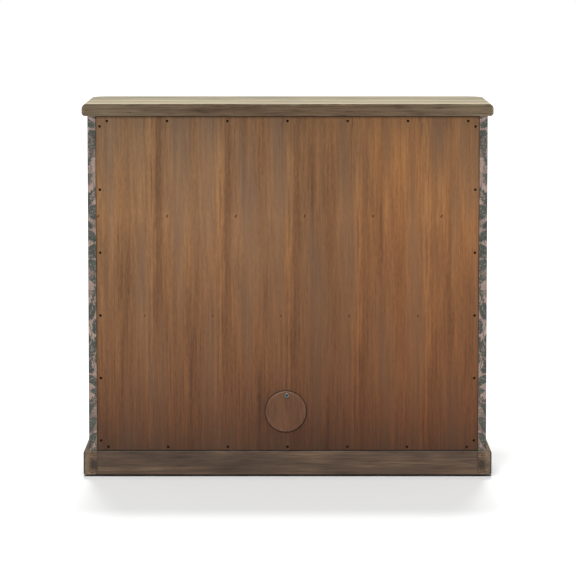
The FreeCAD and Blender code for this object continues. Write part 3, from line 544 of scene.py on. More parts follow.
@dataclass(frozen=True)
class SlipMatchedVeneer:
    """Walnut-stained veneer laid in leaves cut one after another, each repeating its neighbour's figure.

    It gives fine upright fibres and short pores on an even brown, soft greyer patches, streaks and small
    knots that come back at every leaf, toner and painted shade that darken and redden the foot, and a painted
    shadow just under the top. The fibres and pores are drawn coarser than real ones, so that they show.
    """

    name: str
    dark: str = "#5b391f"
    mid: str = "#885c37"
    light: str = "#a77649"
    grey: str = "#685242"
    knot: str = "#4a2608"
    tone_stops: tuple[float, float, float] = (0.2, 0.5, 0.8)
    leaf_mm: float = 170.3
    joint_mm: float = -58.5
    half_width_mm: float = 473.0
    fibres: tuple[Fibre, ...] = (
        Fibre(52.0, 460.0, 0.62, 1.0),
        Fibre(13.0, 170.0, 0.18),
        Fibre(4.6, 130.0, 0.5),
        Fibre(3.0, 16.0, 0.3, 2.0),
    )
    fine: int = 2
    coarseness: float = 0.55
    patches: Fibre = Fibre(46.0, 560.0, 0.5, 1.0)
    patch_span: Span = (0.42, 0.64)
    drift: float = 0.35
    sway_mm: float = 16.0
    sway_length_mm: float = 75.0
    sway_drift: float = 0.2
    broken_limits: Limits = (0.35, 0.58, 0.1, 1.3)
    streaks: tuple[Streak, ...] = (
        Streak(46.0, 4.6, -0.15, (400.0, 700.0)),
        Streak(39.0, 1.8, -0.12, (500.0, 700.0)),
        Streak(83.0, 5.0, -0.07),
        Streak(23.0, 10.0, 0.08),
        Streak(7.0, 2.6, -0.2, (805.0, 895.0)),
        Streak(25.0, 2.6, -0.2, (815.0, 900.0)),
    )
    knots: tuple[Knot, ...] = (Knot(63.0, 650.0), Knot(4.0, 402.0, 0.7), Knot(22.0, 560.0, 0.2))
    # Multipliers up the panel: toner and painted shade that darken and redden the foot, and near the top a
    # painted shadow under the top's overhang.
    toner: tuple[tuple[float, str], ...] = (
        (0.07, "#988e89"),
        (0.16, "#bea99d"),
        (0.3, "#ddcfc4"),
        (0.72, "#ffffff"),
        (0.97, "#e9eef2"),
    )
    toner_across: tuple[tuple[float, str], ...] = (
        (0.0, "#f0ecdd"),
        (0.2, "#f9f0d9"),
        (0.4, "#dfddd4"),
        (0.65, "#f2f7fa"),
        (1.0, "#f0faff"),
    )
    panel_mm: float = 900.0
    # A dark line of painted shade round a disc on the panel.
    line_mm: float = 1.5
    line_span_mm: Span = (1.2, 2.7)
    line_share: float = 0.64
    # A disc's own rim, paled as rubbed wear and painted highlight.
    rim: str = "#7c6557"
    rim_mm: Span = (3.9, 1.8)
    rim_limits: Limits = (0.4, 0.6, 0.3, 1.5)
    rim_share: float = 0.0
    roughness: float = 0.5
    specular: float = 0.3
    bump_mm: float = 0.08
    bump_strength: float = 0.4

    def streaked(self, shader: Shader, tone: Socket, sway: Socket, z: Socket, fine: Socket) -> Socket:
        """Adds the streaks, each a bell curve across the leaf, broken up by the fine fibres.

        Args:
            shader: the material to add nodes to.
            tone: the tone so far.
            sway: the place across the leaf, swaying, in millimetres.
            z: the height in millimetres.
            fine: the fine fibres' noise.

        Returns:
            The tone with the streaks.
        """
        add = shader.add
        broken = add("MapRange", fine, *self.broken_limits)
        for streak in self.streaks:
            off = add("Math", sway, streak.across, operation="SUBTRACT")
            beside = add("Math", off, streak.half_width, operation="DIVIDE")
            fall = add("Math", add("Math", beside, beside, operation="MULTIPLY"), -1.0, operation="MULTIPLY")
            bell = add("Math", math.e, fall, operation="POWER")
            there = add("MapRange", z, *streak.fades_in, 0.0, streak.tone)
            there = add("Math", broken, there, operation="MULTIPLY")
            tone = add("Math", bell, there, tone, operation="MULTIPLY_ADD")
        return tone

    def knotted(self, shader: Shader, tone: Socket, sway: Socket, z: Socket) -> tuple[Socket, Socket | float]:
        """Adds the knots, each a leaning ellipse with a paler halo.

        Args:
            shader: the material to add nodes to.
            tone: the tone so far.
            sway: the place across the leaf, swaying, in millimetres.
            z: the height in millimetres.

        Returns:
            The tone with the halos, and the share of the knots' own colour.
        """
        add = shader.add
        hearts: Socket | float = 0.0
        for knot in self.knots:
            above = add("Math", z, knot.height, operation="SUBTRACT")
            beside = add("Math", sway, knot.across, operation="SUBTRACT")
            aside = add("Math", above, knot.lean, beside, operation="MULTIPLY_ADD")
            shape = (1 / knot.half_width, 1 / knot.half_height, 0.0)
            offset = add("VectorMath", add("CombineXYZ", aside, above), shape, operation="MULTIPLY")
            radius = add("VectorMath", offset, operation="LENGTH", out="Value")
            heart = add("MapRange", radius, *knot.heart, knot.depth, 0.0)
            hearts = add("Math", heart, hearts, operation="ADD")
            halo = add("MapRange", radius, *knot.halo, knot.halo_tone, 0.0)
            tone = add("Math", halo, tone, operation="ADD")
        return tone, hearts

    def rimmed(self, shader: Shader, wood: Socket, disc: str, fine: Socket) -> Socket:
        """Pales the rim of a disc with wear and painted highlight, or else paints a dark line of shade round
        it.

        Args:
            shader: the material to add nodes to.
            wood: the colour so far.
            disc: the round node.
            fine: the fine fibres' noise.

        Returns:
            The colour with the paled rim or the painted shadow line.
        """
        add = shader.add
        low, high = box_mm(disc)
        outside = add("Math", shader.from_axis(disc), (high[0] - low[0]) / 2, operation="SUBTRACT")
        # Rubbed wear and painted highlight on the disc's own rim.
        if self.rim_share:
            worn = add("MapRange", outside, -self.rim_mm[0], -self.rim_mm[1], 0.0, self.rim_share)
            rubbed = add("Math", worn, add("MapRange", fine, *self.rim_limits), operation="MULTIPLY")
            return add("Mix", rubbed, named={UNDER: wood, OVER: linear(self.rim)}, **COLOUR_MIX)
        # Painted shade: a dark line on the panel round the disc.
        off_shade_line = add("Math", outside, self.line_mm / 2, operation="SUBTRACT")
        beside = add("Math", off_shade_line, operation="ABSOLUTE")
        unshaded = add("MapRange", beside, *self.line_span_mm, 1 - self.line_share, 1.0)
        return add("VectorMath", wood, named={"Scale": unshaded}, operation="SCALE")

    def material(self, disc: str | None = None) -> Material:
        """Noises drawn out up the panel, with streaks and knots added.

        The noises are read on a circle one leaf round, so that a leaf's last fibre meets the next leaf's
        first one, and the circle climbs a little from leaf to leaf, so that the figure drifts.

        Args:
            disc: the round node that a painted shadow line runs round, or whose own rim is paled with wear
                and painted highlight, if there is one.

        Returns:
            The material.
        """
        shader = Shader(self.name, Roughness=self.roughness, Specular_IOR_Level=self.specular)
        add = shader.add
        x, _, z = shader.millimetres()
        from_joint = add("Math", self.half_width_mm - self.joint_mm, x, operation="SUBTRACT")
        leaves = add("Math", from_joint, self.leaf_mm, operation="DIVIDE")
        across = add("Math", add("Math", leaves, operation="FRACT"), self.leaf_mm, operation="MULTIPLY")
        turn = add("Math", leaves, TWO_PI, operation="MULTIPLY")
        circle = add("CombineXYZ", add("Math", turn, operation="COSINE"), add("Math", turn, operation="SINE"))
        ring = add("VectorMath", circle, named={"Scale": self.leaf_mm / TWO_PI}, operation="SCALE")
        fields = []
        for fibre in (*self.fibres, self.patches):
            lift = add("Math", leaves, self.drift * fibre.length, z, operation="MULTIPLY_ADD")
            fields.append(fibre.field(shader, ring, lift, self.coarseness))
        fine = fields[self.fine]
        tone: Socket | float = MID_TONE
        for noise, fibre in zip(fields, self.fibres):
            tone = shader.vary(tone, noise, fibre.share)
        rise = add("Math", z, 1 / self.sway_length_mm, operation="MULTIPLY")
        climb = add("Math", leaves, self.sway_drift, rise, operation="MULTIPLY_ADD")
        wander = add("TexNoise", named={"W": climb, "Scale": 1.0, "Detail": 2.0}, noise_dimensions="1D")
        sway = shader.vary(across, wander, self.sway_mm)
        tone = self.streaked(shader, tone, sway, z, fine)
        tone, hearts = self.knotted(shader, tone, sway, z)
        stops = list(zip(self.tone_stops, (self.dark, self.mid, self.light)))
        wood = add("ValToRGB", tone, stops=stops)
        dusty = add("MapRange", fields[-1], *self.patch_span, 0.0, self.patches.share)
        wood = add("Mix", dusty, named={UNDER: wood, OVER: linear(self.grey)}, **COLOUR_MIX)
        if self.knots:
            wood = add("Mix", hearts, named={UNDER: wood, OVER: linear(self.knot)}, **COLOUR_MIX)
        # Up the panel: toner with painted shade at the foot and a painted shadow under the top; across it,
        # uneven toner.
        height = add("Math", z, 1 / self.panel_mm, operation="MULTIPLY")
        aside = add("MapRange", x, -self.half_width_mm, self.half_width_mm)
        for place, toner in ((height, self.toner), (aside, self.toner_across)):
            wood = add("VectorMath", wood, add("ValToRGB", place, stops=list(toner)), operation="MULTIPLY")
        if disc:
            wood = self.rimmed(shader, wood, disc, fine)
        shader.feed("Base Color", wood)
        tooth = {"Strength": self.bump_strength, "Distance": self.bump_mm * MM, "Height": fine}
        shader.feed("Normal", add("Bump", named=tooth))
        return shader.material


@dataclass(frozen=True)
class Vine:
    """One run of printed stems with leaves up both sides. Lengths are in millimetres."""

    lean_deg: float
    stem_gap: float
    leaf_step: float
    leaf_length: float
    leaf_half_width: float
    rise_deg: float
    sway: float
    sway_length: float
    dark: str
    light: str
    vein: str
    seed: float
    tooth_pitch: float = 5.5
    tooth_share: float = 0.2
    vein_pitch: float = 6.5
    rib_share: float = 0.16
    rib_ink_share: float = 0.55
    midrib: Span = (0.3, 0.8)
    shade_share: float = 0.35
    outline: Span = (0.2, 1.1)
    outline_share: float = 0.7
    shortest_share: float = 0.72
    stagger_share: float = 0.618
    stalk: float = 2.5
    stem_half_width: float = 0.7
    blur: float = 0.3
    half_widths: tuple[Span, ...] = ((0, 0), (0.12, 0.62), (0.34, 1), (0.66, 0.72), (0.88, 0.24), (1, 0))

    def draw(self, shader: Shader, across: Socket, up: Socket, ground: Socket) -> Socket:
        """Prints the run over what is already there.

        Each stem is a swaying line. Beside it the plane is sheared so that a leaf's axis lies level in a slot
        of its own: along the axis the leaf's half width follows a curve with teeth, and the leaf is filled,
        veined and outlined by how far a point lies inside that half width.

        Args:
            shader: the material to add nodes to.
            across: the first coordinate on the printed face.
            up: the second one.
            ground: the colour printed so far.

        Returns:
            The colour with this run on it.
        """
        add = shader.add
        lean, rise = math.radians(self.lean_deg), math.radians(self.rise_deg)
        face = add("CombineXYZ", across, up)
        turned = add("VectorRotate", face, named={"Angle": lean}, rotation_type="Z_AXIS")
        level, climb, _ = add("SeparateXYZ", turned).node.outputs
        phase = add("Math", climb, TWO_PI / self.sway_length, self.seed, operation="MULTIPLY_ADD")
        swayed = add("Math", add("Math", phase, operation="SINE"), self.sway, level, operation="MULTIPLY_ADD")
        stem = add("Math", add("Math", swayed, self.stem_gap, operation="DIVIDE"), operation="ROUND")
        beside = add("Math", stem, -self.stem_gap, swayed, operation="MULTIPLY_ADD")
        hand = add("Math", beside, operation="SIGN")
        out = add("Math", beside, operation="ABSOLUTE")
        sheared = add("Math", out, -math.tan(rise), climb, operation="MULTIPLY_ADD")
        # A quarter step either way puts the leaves of the two sides half a step apart.
        sheared = add("Math", hand, self.leaf_step / 4, sheared, operation="MULTIPLY_ADD")
        sheared = add("Math", stem, self.leaf_step * self.stagger_share, sheared, operation="MULTIPLY_ADD")
        slots = add("Math", sheared, self.leaf_step, operation="DIVIDE")
        slot = add("Math", slots, operation="FLOOR")
        middle = add("Math", add("Math", slots, operation="FRACT"), 1 / 2, operation="SUBTRACT")
        off_axis = add("Math", middle, self.leaf_step * math.cos(rise), operation="MULTIPLY")
        off = add("Math", off_axis, operation="ABSOLUTE")
        chance = add("TexWhiteNoise", add("CombineXYZ", stem, slot, hand), self.seed, noise_dimensions="4D")
        shortest = self.leaf_length * self.shortest_share
        length = add("MapRange", chance, 0.0, 1.0, shortest, self.leaf_length)
        run = add("Math", out, 1 / math.cos(rise), -self.stalk, operation="MULTIPLY_ADD")
        share = add("Math", run, length, operation="DIVIDE")
        shape = add("FloatCurve", named={"Value": share}, curve=self.half_widths)
        tooth = add("Math", add("Math", run, self.tooth_pitch, operation="DIVIDE"), operation="FRACT")
        widest = self.leaf_half_width
        trim = add("Math", tooth, -self.tooth_share * widest, widest, operation="MULTIPLY_ADD")
        inside = add("Math", add("Math", shape, trim, operation="MULTIPLY"), off, operation="SUBTRACT")
        filled = add("MapRange", inside, -self.blur, self.blur)
        leaf = add("Math", filled, add("Math", share, 1.0, operation="LESS_THAN"), operation="MULTIPLY")
        ribs = add("Math", add("Math", run, off, operation="SUBTRACT"), self.vein_pitch, operation="DIVIDE")
        rib = add("Math", add("Math", ribs, operation="FRACT"), self.rib_share, operation="LESS_THAN")
        ribbed = add("Math", rib, self.rib_ink_share, operation="MULTIPLY")
        veined = add("Math", add("MapRange", off, *self.midrib, 1.0, 0.0), ribbed, operation="MAXIMUM")
        upper = add("Math", off_axis, 0.0, operation="GREATER_THAN")
        shaded = add("Math", upper, self.shade_share, chance, operation="MULTIPLY_ADD")
        fill = add("Mix", shaded, named={UNDER: linear(self.dark), OVER: linear(self.light)}, **COLOUR_MIX)
        fill = add("Mix", veined, named={UNDER: fill, OVER: linear(self.vein)}, **COLOUR_MIX)
        line = add("MapRange", inside, *self.outline, self.outline_share, 0.0)
        fill = add("Mix", line, named={UNDER: fill, OVER: linear(self.dark)}, **COLOUR_MIX)
        w = self.stem_half_width
        on_stem = add("MapRange", out, w - self.blur, w + self.blur, 1.0, 0.0)
        below = add("Mix", on_stem, named={UNDER: ground, OVER: linear(self.dark)}, **COLOUR_MIX)
        return add("Mix", leaf, named={UNDER: below, OVER: fill}, **COLOUR_MIX)


@dataclass(frozen=True)
class FoliagePrint:
    """Board faced with an all-over foliage print under matt lacquer; its inner face is plain stained wood.

    It gives flat ink of dusty grey-green on pink taupe, in leaves of several sizes, with ragged edges and
    small skips, as a block leaves them.
    """

    name: str
    plain: Timber
    ground_dark: str = "#7f6c63"
    ground_light: str = "#978378"
    # Large faint leaves, faint sprigs, dark leaves and dark sprigs, in the order they are printed.
    vines: tuple[Vine, ...] = (
        Vine(
            lean_deg=12, stem_gap=132, leaf_step=70, leaf_length=76, leaf_half_width=25, rise_deg=38,
            sway=12, sway_length=340, dark="#5f524b", light="#6a5c53", vein="#75645a", seed=1.3,
            tooth_pitch=8, vein_pitch=8,
        ),
        Vine(
            lean_deg=-40, stem_gap=97, leaf_step=9, leaf_length=13, leaf_half_width=2.2, rise_deg=44,
            sway=8, sway_length=130, dark="#7d6c61", light="#857468", vein="#857468", seed=2.9,
            tooth_share=0, vein_pitch=40,
        ),
        Vine(
            lean_deg=-16, stem_gap=82, leaf_step=37, leaf_length=50, leaf_half_width=14.5, rise_deg=35,
            sway=9, sway_length=210, dark="#2f3531", light="#40463f", vein="#575850", seed=4.1,
        ),
        Vine(
            lean_deg=30, stem_gap=64, leaf_step=10.5, leaf_length=19, leaf_half_width=3.3, rise_deg=48,
            sway=7, sway_length=150, dark="#2c312e", light="#3a3f39", vein="#454942", seed=7.7,
            tooth_share=0, vein_pitch=40,
        ),
    )
    wash_mm: float = 35.0
    wash_span: Span = (0.36, 0.64)
    mottle_mm: float = 3.0
    mottle_limits: Limits = (0.3, 0.7, 0.9, 1.1)
    ragged_mm: float = 5.0
    ragged_reach_mm: float = 6.0
    skip_mm: float = 4.2
    skip_span: Span = (0.57, 0.64)
    skip_share: float = 0.7
    roughness: float = 0.55
    specular: float = 0.3
    bump_mm: float = 0.05
    bump_strength: float = 0.3

    def material(self, wrap: Wrap, plain_from_mm: float) -> Material:
        """The print on one kind of board.

        Args:
            wrap: how the foil lies on the board.
            plain_from_mm: where the board's inner face begins, along X on a side panel and else along Y.

        Returns:
            The material.
        """
        name = f"{self.name} {wrap.name.lower()}"
        shader = Shader(name, Roughness=self.roughness, Specular_IOR_Level=self.specular)
        add = shader.add
        x, y, z = shader.millimetres()
        if wrap is Wrap.SIDE:
            away = add("Math", x, operation="ABSOLUTE")
            across = add("Math", y, away, operation="SUBTRACT")
            up = z
            inner = add("Math", away, plain_from_mm, operation="LESS_THAN")
        else:
            across = add("Math", x, y, operation="ADD")
            up = add("Math", z, y, operation="ADD")
            inner = add("Math", y, plain_from_mm, operation="GREATER_THAN")
        face = add("CombineXYZ", across, up)
        wash = add("TexNoise", face, named={"Scale": 1 / self.wash_mm, "Detail": 4.0, "Roughness": 0.6})
        washes = list(zip(self.wash_span, (self.ground_dark, self.ground_light)))
        ground = add("ValToRGB", wash, stops=washes)
        tear = add("TexNoise", face, named={"Scale": 1 / self.ragged_mm, "Detail": 2.0}, out="Color")
        reach = (self.ragged_reach_mm, self.ragged_reach_mm, 0.0)
        torn = add("VectorMath", tear, reach, face, operation="MULTIPLY_ADD")
        across, up, _ = add("SeparateXYZ", torn).node.outputs
        ink = ground
        for vine in self.vines:
            ink = vine.draw(shader, across, up, ink)
        skip = add("TexNoise", face, named={"Scale": 1 / self.skip_mm, "Detail": 2.0})
        skipped = add("MapRange", skip, *self.skip_span, 0.0, self.skip_share)
        ink = add("Mix", skipped, named={UNDER: ink, OVER: ground}, **COLOUR_MIX)
        mottle = add("TexNoise", face, named={"Scale": 1 / self.mottle_mm, "Detail": 3.0})
        mottled = add("MapRange", mottle, *self.mottle_limits)
        ink = add("VectorMath", ink, named={"Scale": mottled}, operation="SCALE")
        tone, fibre = self.plain.tone(shader, Grain.ALONG_Z)
        wood = add("ValToRGB", tone, stops=self.plain.stops())
        shader.feed("Base Color", add("Mix", inner, named={UNDER: ink, OVER: wood}, **COLOUR_MIX))
        tooth = {"Strength": self.bump_strength, "Distance": self.bump_mm * MM, "Height": fibre}
        shader.feed("Normal", add("Bump", named=tooth))
        return shader.material


@dataclass(frozen=True)
class Metal:
    """A bare or plated metal, with patches of finer and coarser polish."""

    name: str
    dull: str
    bright: str
    roughness: float
    spread: float = 0.1
    patch_mm: float = 6.0
    # Painted shade in a screw's driver recess, where there is one.
    stain: str = "#1d1815"
    stain_shares: Span = (0.8, 1.1)

    def material(self, stained: str | None = None, recess_shade_mm: float = 0.0) -> Material:
        """The metal, its colour and roughness varied by one noise.

        Args:
            stained: the node whose middle, seen along Y, gets painted shade in its recess, if there is one.
            recess_shade_mm: the radius of that painted shade.

        Returns:
            The material.
        """
        shader = Shader(self.name, Metallic=1.0)
        patch = shader.add("TexNoise", shader.place(), named={"Scale": 1 / self.patch_mm, "Detail": 4.0})
        low, high = self.roughness - self.spread, self.roughness + self.spread
        shader.feed("Roughness", shader.add("MapRange", patch, *NOISE_SPAN, high, low))
        colour = shader.add("ValToRGB", patch, stops=list(zip(NOISE_SPAN, (self.dull, self.bright))))
        # Painted shade in the driver's recess.
        if stained:
            start, stop = (share * recess_shade_mm for share in self.stain_shares)
            share = shader.add("MapRange", shader.from_axis(stained), start, stop, 1.0, 0.0)
            colour = shader.add("Mix", share, named={UNDER: colour, OVER: linear(self.stain)}, **COLOUR_MIX)
        shader.feed("Base Color", colour)
        return shader.material


@dataclass(frozen=True)
class Moulding:
    """Injection-moulded plastic with a fine spark-eroded texture, drawn coarse enough to show."""

    name: str
    dark: str
    light: str
    roughness: float = 0.6
    texture_mm: float = 0.8
    bump_mm: float = 0.05
    bump_strength: float = 0.3

    def material(self) -> Material:
        """One noise in the colour and the bump.

        Returns:
            The material.
        """
        shader = Shader(self.name, Roughness=self.roughness)
        grit = shader.add("TexNoise", shader.place(), named={"Scale": 1 / self.texture_mm, "Detail": 2.0})
        colours = list(zip(NOISE_SPAN, (self.dark, self.light)))
        shader.feed("Base Color", shader.add("ValToRGB", grit, stops=colours))
        tooth = {"Strength": self.bump_strength, "Distance": self.bump_mm * MM, "Height": grit}
        shader.feed("Normal", shader.add("Bump", named=tooth))
        return shader.material


class Palette:
    """The finished materials that more than one sub-assembly uses."""

    def __init__(self) -> None:
        """Makes each material once."""
        # Birch that took a thin brown stain: even, close grain, hardly any gloss.
        self.inside = Timber("brown stained birch", "#4b3726", "#634a34", "#7b5f44", roughness=0.6)
        # Open-grained oak under dark stain, which has worn off its arrises.
        self.plinth_oak = Timber(
            "brown stained oak plinth",
            "#34271c",
            "#523f30",
            "#745d47",
            worn="#725f49",
            fibre=Fibre(2.0, 60.0, 0.4, 4.0),
            pore_share=0.2,
        )
        self.inside_x = self.inside.material(Grain.ALONG_X)
        self.inside_z = self.inside.material(Grain.ALONG_Z)
        self.frame_x = self.plinth_oak.material(Grain.ALONG_X)
        self.frame_z = self.plinth_oak.material(Grain.ALONG_Z)
        # Poplar under clear lacquer: pale, soft streaks and a low sheen.
        box_wood = Timber("clear lacquered poplar", "#7d6545", "#957b58", "#ac926c", roughness=0.5)
        self.box_x, self.box_y = box_wood.material(Grain.ALONG_X), box_wood.material(Grain.ALONG_Y)
        # Zinc on rolled steel: cool grey, bright in patches.
        self.zinc = Metal("bright zinc plate", "#8f9496", "#b4b8ba", 0.36).material()
        # Phosphate on steel: brown-black and dull.
        self.black = Metal("brown-black phosphated steel", "#1c140e", "#2a2018", 0.55).material()
        # Brass darkened by age and handling, its gloss uneven.
        self.brass = Metal("aged brass", "#54431f", "#7d6434", 0.4).material()
        # Mouldings straight from a spark-eroded mould: matt, with fine grit.
        self.nylon = Moulding("black nylon", "#1f1d1b", "#2a2825").material()
        self.plastic = Moulding("brown moulded plastic", "#3d2f25", "#493a2e").material()
        # Paper foil printed with leaves and glued round the boards, under matt lacquer.
        foil = FoliagePrint("foliage print on board", self.inside)
        inner = box_mm("right_side_panel")[0][0]
        rear = box_mm("right_door_panel")[1][1]
        self.side_print = foil.material(Wrap.SIDE, inner + FOIL_TURN_MM)
        self.front_print = foil.material(Wrap.FRONT, rear - FOIL_TURN_MM)


def dress(material: Material, *names: str) -> None:
    """Gives nodes of the part one material.

    Args:
        material: their finish.
        *names: the nodes' names.
    """
    for name in names:
        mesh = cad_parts[name].data
        mesh.materials.clear()
        mesh.materials.append(material)
        log.info("%s: %s", name, material.name)


@dataclass
class ScrewHeads:
    """Flat brass screw heads standing a hair proud of a hinge leaf."""

    name: str
    body: str
    radius_mm: float = 2.6
    proud_mm: float = 0.1
    recess_share: float = 0.25
    profile_shares: tuple[Span, ...] = ((0.34, 0.35), (0.45, 1.0), (0.92, 1.0), (1.0, 0.0), (1.0, -3.0))
    sides: int = 24

    def build(self, places: np.ndarray, outward: np.ndarray, material: Material) -> None:
        """A profile turned about the outward axis at every place, closed by a point at each end.

        With a profile of radius r and height h, a ring's points are
        place + outward h + r (e cos t + f sin t), where e, f and outward make a right-handed frame.

        Args:
            places: the heads' middles on the leaf's face, one row each, in millimetres.
            outward: the face's outward unit vectors along X, one row each.
            material: their finish.
        """
        rings = np.array(self.profile_shares) * (self.radius_mm, self.proud_mm)
        turn = np.linspace(0, TWO_PI, self.sides, endpoint=False)
        up = np.array([0.0, 0.0, 1.0])
        e = np.broadcast_to(up, outward.shape)
        f = np.cross(outward, e)
        around = e[:, None, :] * np.cos(turn)[None, :, None] + f[:, None, :] * np.sin(turn)[None, :, None]
        radius, height = rings[None, :, None, 0:1], rings[None, :, None, 1:2]
        walls = radius * around[:, None] + height * outward[:, None, None]
        walls = walls.reshape(len(places), -1, 3)
        ends = np.stack([outward * self.recess_share * self.proud_mm, outward * rings[-1, 1]], 1)
        points = (np.concatenate([ends, walls], 1) + places[:, None]).reshape(-1, 3) * MM
        j = np.arange(self.sides)
        k = (j + 1) % self.sides
        first = ends.shape[1]
        last = first + (len(rings) - 1) * self.sides
        recess = np.stack([0 * j, first + j, first + k], 1)
        foot = np.stack([0 * j + 1, last + k, last + j], 1)
        fans = np.concatenate([recess, foot])
        ring = (first + np.arange(len(rings) - 1) * self.sides)[:, None]
        below = ring + self.sides
        quads = np.stack([ring + j, below + j, below + k, ring + k], -1).reshape(-1, 4)
        step = (np.arange(len(places)) * (last + self.sides))[:, None, None]
        faces = (fans + step).reshape(-1, 3).tolist() + (quads + step).reshape(-1, 4).tolist()
        mesh = bpy.data.meshes.new(self.name)
        mesh.from_pydata(points.tolist(), [], faces)
        mesh.materials.append(material)
        piece = bpy.data.objects.new(self.name, mesh)
        bpy.context.scene.collection.objects.link(piece)
        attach(piece, self.body)
        log.info("%s: %d heads on %s", self.name, len(places), self.body)


@dataclass
class Plinth:
    """Moulded rails round the foot, the blocks in their corners and the glides under them."""

    front_worn_share: float = 0.45
    # Dust and painted shade on the rear rail's ledge and arrises, under the back panel.
    grime: str = "#1c150f"
    grime_ledge_share: float = 0.85
    grime_arris_share: float = 0.5
    end_worn: str = "#887660"
    end_worn_share: float = 0.55
    end_worn_mm: Span = (4.5, 11.0)
    end_ring_mm: float = 5.6
    end_ring_share: float = 0.42
    end_warp_mm: float = 20.0
    heart_mm: float = 29.0
    heart_x_mm: float = 483.0
    heart_z_mm: float = 32.0

    def dress(self, palette: Palette) -> None:
        """Gives the front rail worn arrises, the rear one a ledge and arrises darkened by dust and painted
        shade, and the side rails aged ends.

        Args:
            palette: the materials.
        """
        front = replace(palette.plinth_oak, worn_share=self.front_worn_share)
        # Dust and painted shade darken the rear rail's ledge and its arrises.
        rear = replace(
            palette.plinth_oak,
            worn=self.grime,
            worn_share=self.grime_arris_share,
            worn_foot_share=0.0,
            upper_share=self.grime_ledge_share,
        )
        for rail, oak in (("front_plinth_rail", front), ("rear_plinth_rail", rear)):
            dress(oak.material(Grain.ALONG_X, rail), rail)
        for hand in Hand:
            rail = f"{hand.word}_plinth_rail"
            oak = replace(
                palette.plinth_oak,
                worn=self.end_worn,
                worn_share=self.end_worn_share,
                worn_mm=self.end_worn_mm,
                pith_mm=(-self.heart_z_mm, -self.heart_x_mm * hand.value),
                heart_mm=self.heart_mm,
                warp_mm=self.end_warp_mm,
                ring_mm=self.end_ring_mm,
                end_ring_share=self.end_ring_share,
                end_grain=EndGrain(),
            )
            dress(oak.material(Grain.ALONG_Y, rail), rail)
        dress(palette.inside_x, "plinth_corner_blocks")
        dress(palette.nylon, "floor_glides")


@dataclass
class Carcass:
    """Top, printed sides, frame and inside of the cabinet."""

    # Oak staves under brown stain, pale and dry where light and hands reach them, with open pores.
    top_wood: Timber = Timber(
        "brown stained oak top",
        "#3b2e24",
        "#514133",
        "#6a5845",
        worn="#776f5c",
        worn_share=0.75,
        worn_foot_share=0.2,
        upper_share=0.9,
        handled_share=0.6,
        fibre=Fibre(2.4, 60.0, 0.6, 4.0),
        cloud=Fibre(60.0, 210.0, 0.5, 2.0, 0.3),
        pore_share=0.35,
        stave_mm=73.0,
        pith_mm=(120.0, -700.0),
        roughness=0.7,
        specular=0.05,
    )

    def dress(self, palette: Palette) -> None:
        """Gives every fixed board and fitting its finish.

        Args:
            palette: the materials.
        """
        dress(self.top_wood.material(Grain.ALONG_X, "top_panel"), "top_panel")
        dress(palette.side_print, "left_side_panel", "right_side_panel")
        dress(palette.frame_x, "bottom_front_rail", "front_top_rail", "drawer_deck")
        dress(palette.frame_z, "drawer_partition")
        dress(palette.inside_x, "bottom_panel", "shelf", "rear_top_rail")
        dress(palette.inside_z, "left_back_cleat", "right_back_cleat")
        dress(palette.zinc, "shelf_pins", "drawer_slide_outers")
        dress(palette.brass, "hinge_frame_leaves", "hinge_pins")
        dress(palette.plastic, "magnetic_catches")


@dataclass
class BackPanel:
    """The veneered sheet and the screws round its edge."""

    # Knife-cut veneer wiped with walnut stain and toner: low sheen, and the same figure leaf after leaf.
    veneer: SlipMatchedVeneer = SlipMatchedVeneer("walnut-stained slip-matched veneer")

    def dress(self, palette: Palette) -> None:
        """Gives the sheet its veneer and the screws their black finish."""
        # The veneer paints a dark line of shade round the cable cover, and painted shade at the foot and
        # under the top.
        dress(self.veneer.material("cable_cover"), "back_panel")
        dress(palette.black, "back_panel_screws")


@dataclass
class CableCover:
    """The disc over the cable port and the screw that it swings on."""

    # A disc cut from other veneer, so that its figure breaks off at the rim, which is paled as rubbed wear
    # and painted highlight.
    veneer: SlipMatchedVeneer = SlipMatchedVeneer(
        "walnut-stained disc",
        "#472d1d",
        "#5b3a24",
        "#70482c",
        grey="#5c402a",
        rim_share=0.15,
        joint_mm=20.0,
        fibres=(Fibre(48.0, 160.0, 0.5), Fibre(13.0, 60.0, 0.4), Fibre(4.6, 30.0, 0.8)),
        patches=Fibre(44.0, 300.0, 0.6, 1.0),
        streaks=(),
        knots=(),
        toner=((0.0, "#ffffff"), (1.0, "#ffffff")),
        toner_across=((0.0, "#ffffff"), (1.0, "#ffffff")),
    )
    # Zinc gone dull, with painted shade in the driver's recess.
    screw: Metal = Metal("dulled zinc plate", "#4b5254", "#80888a", 0.42, patch_mm=3.0)
    recess_mm: float = 2.6

    def dress(self) -> None:
        """Gives the disc a figure of its own and the screw its plating."""
        dress(self.veneer.material("cable_cover"), "cable_cover")
        dress(self.screw.material("cover_pivot_screw", self.recess_mm), "cover_pivot_screw")


@dataclass
class Drawer:
    """One drawer: printed face, dovetailed box, knob and the moving members of its slides."""

    hand: Hand

    def dress(self, palette: Palette) -> None:
        """Gives the drawer's pieces their finishes.

        Args:
            palette: the materials.
        """
        drawer = f"{self.hand.word}_drawer"
        dress(palette.front_print, f"{drawer}_face")
        dress(palette.box_x, f"{drawer}_box_front", f"{drawer}_box_back", f"{drawer}_floor")
        dress(palette.box_y, f"{drawer}_left_side", f"{drawer}_right_side")
        dress(palette.brass, f"{drawer}_knob")
        dress(palette.black, f"{drawer}_knob_screw")
        dress(palette.zinc, f"{drawer}_slide_middles", f"{drawer}_slide_inners")


